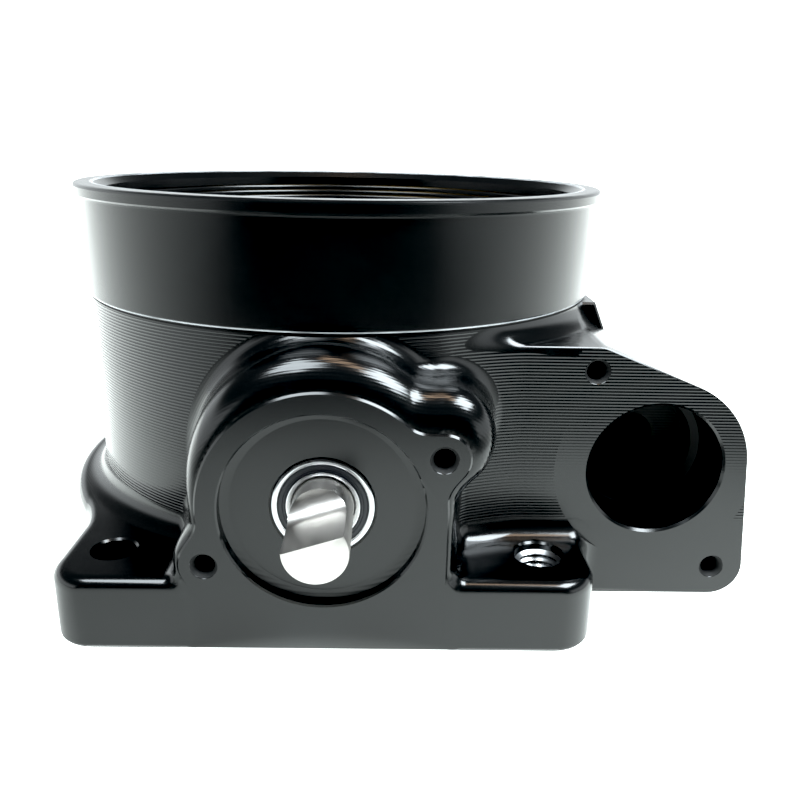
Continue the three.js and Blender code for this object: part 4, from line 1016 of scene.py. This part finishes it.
def make_lever():
    """Hub plate, grooved quadrant, windows, cable seat and stop arm."""
    rim = lathe("rim", "y", (0, 0, SHAFT_Z), [
        (15.5, LEVER_Y), (21.2, LEVER_Y), (21.5, LEVER_Y + 0.3), (21.5, LEVER_Y + 1.2),
        (21.3, LEVER_Y + 1.4), (19.5, LEVER_Y + 1.9), (19.0, LEVER_Y + 2.5), (19.0, LEVER_Y + 3.5),
        (19.5, LEVER_Y + 4.1), (21.3, LEVER_Y + 4.6), (21.5, LEVER_Y + 4.8), (21.5, LEVER_Y + 5.7),
        (21.2, LEVER_Y + 6), (15.7, LEVER_Y + 6), (15.5, LEVER_Y + 5.8)], 256, closed=True)
    keep(rim, prism("span", "xz", sector(43, 12, 172), LEVER_Y - 1, LEVER_Y + 7))
    web = prism("web", "xz", sector(16.5, 12, 172), LEVER_Y, LEVER_Y + LEVER_T, 0.25, 0.25)
    hub = rod("hub", "y", (0, LEVER_Y, SHAFT_Z), 10, LEVER_T, 128, 0.25, 0.25)
    arm = prism("arm", "xz", [(-22.0, 15.45), (0, 15.45), (0, SHAFT_Z), (-20.5, SHAFT_Z),
                              (-22.0, 22.3)], LEVER_Y, LEVER_Y + LEVER_T, 0.25, 0.25)
    lever = join(rim, web, hub, arm)
    lever.name = "lever_plate"
    tools = []
    for i in (1, 2, 3):
        a = math.radians(12 + 40 * i)
        tools.append(lathe("window", "y", (12.75 * math.cos(a), 0, SHAFT_Z + 12.75 * math.sin(a)), [
            (0, LEVER_Y - 1), (3.1, LEVER_Y - 1), (2.1, LEVER_Y), (2.1, LEVER_Y + 3),
            (3.1, LEVER_Y + 4), (0, LEVER_Y + 4)], 64))
    half = (2 * SHAFT_R - FLATS_ACROSS_CUT) / 2 + 0.05
    bore = rod("bore", "y", (0, LEVER_Y - 1, SHAFT_Z), SHAFT_R + 0.05, 5, 128)
    tools.append(keep(bore, prism("flats", "xz", [(-6, SHAFT_Z - half), (6, SHAFT_Z - half),
                                                  (6, SHAFT_Z + half), (-6, SHAFT_Z + half)],
                                  LEVER_Y - 2, LEVER_Y + 5)))
    a = math.radians(160)
    tools.append(rod("barrel", "y", (17.25 * math.cos(a), LEVER_Y + 1.5, SHAFT_Z + 17.25 * math.sin(a)),
                     2.6, 6, 64))
    a = SPRING_LEG + math.radians(90 + 360 * SPRING_TURNS)
    hook = (SPRING_R * math.cos(a), LEVER_Y - 1, SHAFT_Z + SPRING_R * math.sin(a))
    tools.append(rod("hook_hole", "y", hook, 1.1, 5, 32))
    cut(lever, *tools)
    return dress(lever, 30, LEVER_BLACK, "throttle", "lever_metal", "throttle_lever")


def make_washer():
    y0 = LEVER_Y + 3.05
    washer = lathe("washer", "y", (0, 0, SHAFT_Z), [
        (4.05, y0), (7.8, y0), (8.0, y0 + 0.2), (8.0, y0 + 1.1), (7.7, y0 + 1.4), (4.2, y0 + 1.4),
        (4.05, y0 + 1.25)], 128, closed=True)
    return dress(washer, 34, ZINC, "throttle", "plated_steel", "lever_washer")


def hex_nut(name, axis, centre, flats, height, hole, pitch):
    """Hexagon with rounded-off corners and a grooved hole."""
    x, y, z = centre
    radius = flats / math.sqrt(3)
    nut = lathe(name, axis, centre, [(0, 0), (radius, 0), (radius, height), (0, height)], 6)
    drop = (radius - flats / 2) * 0.58
    crown = lathe("crown", axis, centre, [
        (0, -0.001), (flats / 2 - 0.1, -0.001), (radius + 0.1, drop + 0.1),
        (radius + 0.1, height - drop - 0.1), (flats / 2 - 0.1, height + 0.001),
        (0, height + 0.001)], 96)
    keep(nut, crown)
    profile = [(0, -1), (hole + 1.5, -1), (hole + 0.4, 0.02), (hole, 0.4)]
    turns = int((height - 0.8) / pitch)
    for i in range(turns):
        h = 0.4 + i * pitch
        profile += [(hole, h + 0.1 * pitch), (hole + 0.3, h + 0.5 * pitch)]
    profile += [(hole, height - 0.4), (hole + 0.4, height - 0.02), (hole + 1.5, height + 1),
                (0, height + 1)]
    return cut(nut, lathe("hole", axis, centre, profile, 64))


def tube_along(name, points, radius, sides=16):
    """Round wire through points, with flat ends."""
    rings = []
    path = [Vector(p) for p in points]
    side = None
    for i, p in enumerate(path):
        ahead = path[min(i + 1, len(path) - 1)] - path[max(i - 1, 0)]
        ahead.normalize()
        if side is None:
            side = ahead.orthogonal().normalized()
        side = (side - ahead * side.dot(ahead)).normalized()
        other = ahead.cross(side)
        turns = [2 * math.pi * k / sides for k in range(sides)]
        rings.append([tuple(p + side * (radius * math.cos(a)) + other * (radius * math.sin(a)))
                      for a in turns])
    return skin(name, rings)


def make_spring():
    """Torsion coil: straight leg on the anchor pin, coils, and a hook into the lever."""
    pitch, wire, leg, steps = 2.0, 0.8, 15.4, 48
    start = SPRING_LEG + math.radians(90)
    c, s = math.cos(start), math.sin(start)
    y0 = REAR_Y + wire + 0.3
    reaches = [leg * (1 - i / 12) for i in range(13)]
    straight = [(SPRING_R * c + t * s, y0, SHAFT_Z + SPRING_R * s - t * c) for t in reaches]
    fixed = tube_along("spring_fixed_leg", straight, wire)
    dress(fixed, 40, SPRING, "housing", "spring_steel")
    points = []
    total = int(SPRING_TURNS * steps)
    for i in range(total + 1):
        a = start + i / total * 2 * math.pi * SPRING_TURNS
        points.append((SPRING_R * math.cos(a), y0 + pitch * i / steps,
                       SHAFT_Z + SPRING_R * math.sin(a)))
    x, y, z = points[-1]
    for t in (0.25, 0.5, 0.75, 1.0):
        points.append((x, y + (LEVER_Y + 1.5 - y) * t, z))
    spring = tube_along("spring_coil", points, wire)
    return dress(spring, 40, SPRING, "throttle", "spring_steel", "return_spring")


def make_anchor():
    r = 12.41
    foot = (r * math.cos(SPRING_LEG), REAR_Y - 5.95, SHAFT_Z + r * math.sin(SPRING_LEG))
    pin = lathe("anchor_pin", "y", foot, [
        (0, 0), (1.2, 0), (1.5, 0.3), (1.5, 10.1), (1.35, 10.4), (1.1, 10.6), (0, 10.6)], 48)
    return dress(pin, 34, ZINC, "housing", "plated_steel", "spring_anchor_pin")


def make_stop_screw():
    top = SHAFT_Z - 8.4
    length = 13.6
    profile = [(0, 0), (2.1, 0), (2.45, 0.35)]
    turns = int((length - 1.2) / 0.8)
    for i in range(turns):
        h = 0.4 + i * 0.8
        profile += [(2.5, h + 0.15), (2.08, h + 0.55)]
    profile += [(2.4, length - 0.7), (2.4, length - 0.5), (1.6, length - 0.1), (1.0, length),
                (0, length)]
    screw = lathe("stop_screw", "z", (STOP_X, STOP_Y, top - length), profile, 64)
    socket = lathe("socket", "z", (STOP_X, STOP_Y, top - length - 1), [
        (0, 0), (1.45, 0), (1.45, 3.5), (0, 3.9)], 6)
    cut(screw, socket)
    return dress(screw, 34, OXIDE, "housing", "black_steel", "idle_stop_screw")


make_bushing()
make_lever()
make_washer()
nut = hex_nut("shaft_nut", "y", (0, LEVER_Y + 4.5, SHAFT_Z), 13.025, 5, 4.0, 1.0)
dress(nut, 30, ZINC, "throttle", "plated_steel", "lever_nut")
jam = hex_nut("jam_nut", "z", (STOP_X, STOP_Y, 8.65), 8, 2.7, STOP_SCREW_R + 0.05, 0.8)
dress(jam, 30, ZINC, "housing", "plated_steel", "idle_stop_jam_nut")
make_spring()
make_anchor()
make_stop_screw()


# ---- floor, light and camera
def emitter(name, place_mm, size, power, colour):
    """Soft rectangular light, aimed at the front of the part."""
    data = bpy.data.lights.new(name, "AREA")
    data.shape = "RECTANGLE"
    data.size, data.size_y = size[0] * MM, size[1] * MM
    data.energy = power
    data.color = colour
    obj = bpy.data.objects.new(name, data)
    bpy.context.scene.collection.objects.link(obj)
    obj.location = Vector(place_mm) * MM + OFFSET
    aim = Vector((0, -50, 30)) * MM + OFFSET
    obj.rotation_euler = (aim - obj.location).to_track_quat("-Z", "Y").to_euler()


def make_floor():
    """White table, lit through from below so that it stays even and nearly shadowless."""
    s = 3.0
    floor = mesh_object("floor", [(-s, -s, 0), (s, -s, 0), (s, s, 0), (-s, s, 0)], [(0, 1, 2, 3)])
    floor.location.z = -0.00005
    m = Nodes("floor_white", (0.70, 0.75, 0.73), 0.0, 0.6, 0.1)
    m.tint(m.noise(3, 2), (0.72, 0.77, 0.75))
    m.shader.inputs["Emission Color"].default_value = (0.94, 1.0, 0.98, 1)
    m.shader.inputs["Emission Strength"].default_value = 2.6
    paint(floor, m.material)


def make_shade_cards():
    """Black cards in front, on the floor and standing, seen only in reflections: painted shade for the
    dark floor and room in front of the part.
    """
    w, far_y, top = 2.9, -2.9, 1.6
    flat = [(-w, far_y, 0), (w, far_y, 0), (w, w, 0), (-w, w, 0)]
    upright = [(-w, far_y, 0), (w, far_y, 0), (w, far_y, top), (-w, far_y, top)]
    m = Nodes("painted_shade_card", (0, 0, 0), 0.0, 1.0, 0.0)
    sideways = m.math("ABSOLUTE", m.math("SUBTRACT", m.axis("X"), BORE_X))
    ahead = m.math("SUBTRACT", BORE_Y, m.axis("Y"))
    reach = m.radius(BORE_AXIS, "XY")
    # Painted shade: partly dark close in front of the part, darker on the left than on the right, fully
    # dark further out, fading away to the sides.
    near_shade = m.math("MULTIPLY", m.span(reach, 0.058, 0.0625, 0, 1),
                       m.span(m.axis("X"), -0.06, 0.06, 0.62, 0.4))
    depth = m.math("MAXIMUM", near_shade, m.span(reach, 0.108, 0.175, 0, 1))
    turn = m.math("ARCTAN2", sideways, ahead)
    m.link(m.math("MULTIPLY", m.span(turn, 0.7, 2.2, 1, 0), depth), m.shader.inputs["Alpha"])
    for name, verts in (("shade_card_floor", flat), ("shade_card_wall", upright)):
        card = mesh_object(name, verts, [(0, 1, 2, 3)])
        card.location.z = 0.0004
        paint(card, m.material)
        card.visible_camera = False
        card.visible_diffuse = False
        card.visible_shadow = False


def make_world():
    """White room to just above eye level, and a dim ceiling."""
    world = bpy.data.worlds.new("studio")
    bpy.context.scene.world = world
    world.use_nodes = True
    tree = world.node_tree
    coordinate = tree.nodes.new("ShaderNodeTexCoord")
    split = tree.nodes.new("ShaderNodeSeparateXYZ")
    tree.links.new(coordinate.outputs["Generated"], split.inputs[0])
    level = tree.nodes.new("ShaderNodeMapRange")
    level.interpolation_type = "SMOOTHSTEP"
    for slot, number in enumerate((0.24, 0.42, 1.5, 0.12), 1):
        level.inputs[slot].default_value = number
    tree.links.new(split.outputs["Z"], level.inputs[0])
    tree.links.new(level.outputs[0], tree.nodes["Background"].inputs["Strength"])
    tree.nodes["Background"].inputs["Color"].default_value = (0.92, 0.98, 1.0, 1)


make_floor()
make_shade_cards()
make_world()
COOL = (0.86, 0.95, 1.0)
emitter("top_left", (-100, -130, 320), (170, 130), 0.9, COOL)
emitter("top_right", (185, -110, 290), (170, 130), 1.6, COOL)
emitter("warm_strip", (60, -90, 420), (50, 220), 0.25, (1.0, 0.72, 0.5))


def make_camera():
    """Seen from the sensor side, a little above the inlet's rim."""
    data = bpy.data.cameras.new("camera")
    data.sensor_width = 36
    data.lens = 35.77
    data.clip_start = 0.01
    data.clip_end = 20
    camera = bpy.data.objects.new("camera", data)
    bpy.context.scene.collection.objects.link(camera)
    yaw, pitch, roll = (math.radians(v) for v in (1.126, 18.258, 1.21))
    ahead = Vector((math.sin(yaw) * math.cos(pitch), math.cos(yaw) * math.cos(pitch),
                    -math.sin(pitch)))
    right = Vector((math.cos(yaw), -math.sin(yaw), 0))
    up = right.cross(ahead)
    right, up = (right * math.cos(roll) + up * math.sin(roll),
                 up * math.cos(roll) - right * math.sin(roll))
    matrix = camera.matrix_world.copy()
    for row in range(3):
        matrix[row][0], matrix[row][1], matrix[row][2] = right[row], up[row], -ahead[row]
    matrix.translation = Vector((9.24, -166.18, 77.56)) * MM + OFFSET
    camera.matrix_world = matrix
    bpy.context.scene.camera = camera


def set_tone():
    """Plain tones, with the darkest ones crushed and the lightest ones clipped to white."""
    view = bpy.context.scene.view_settings
    view.view_transform = "Standard"
    view.use_curve_mapping = True
    view.curve_mapping.black_level = (0.008, 0.008, 0.008)
    view.curve_mapping.white_level = (0.85, 0.85, 0.85)
    view.curve_mapping.update()


make_camera()
set_tone()
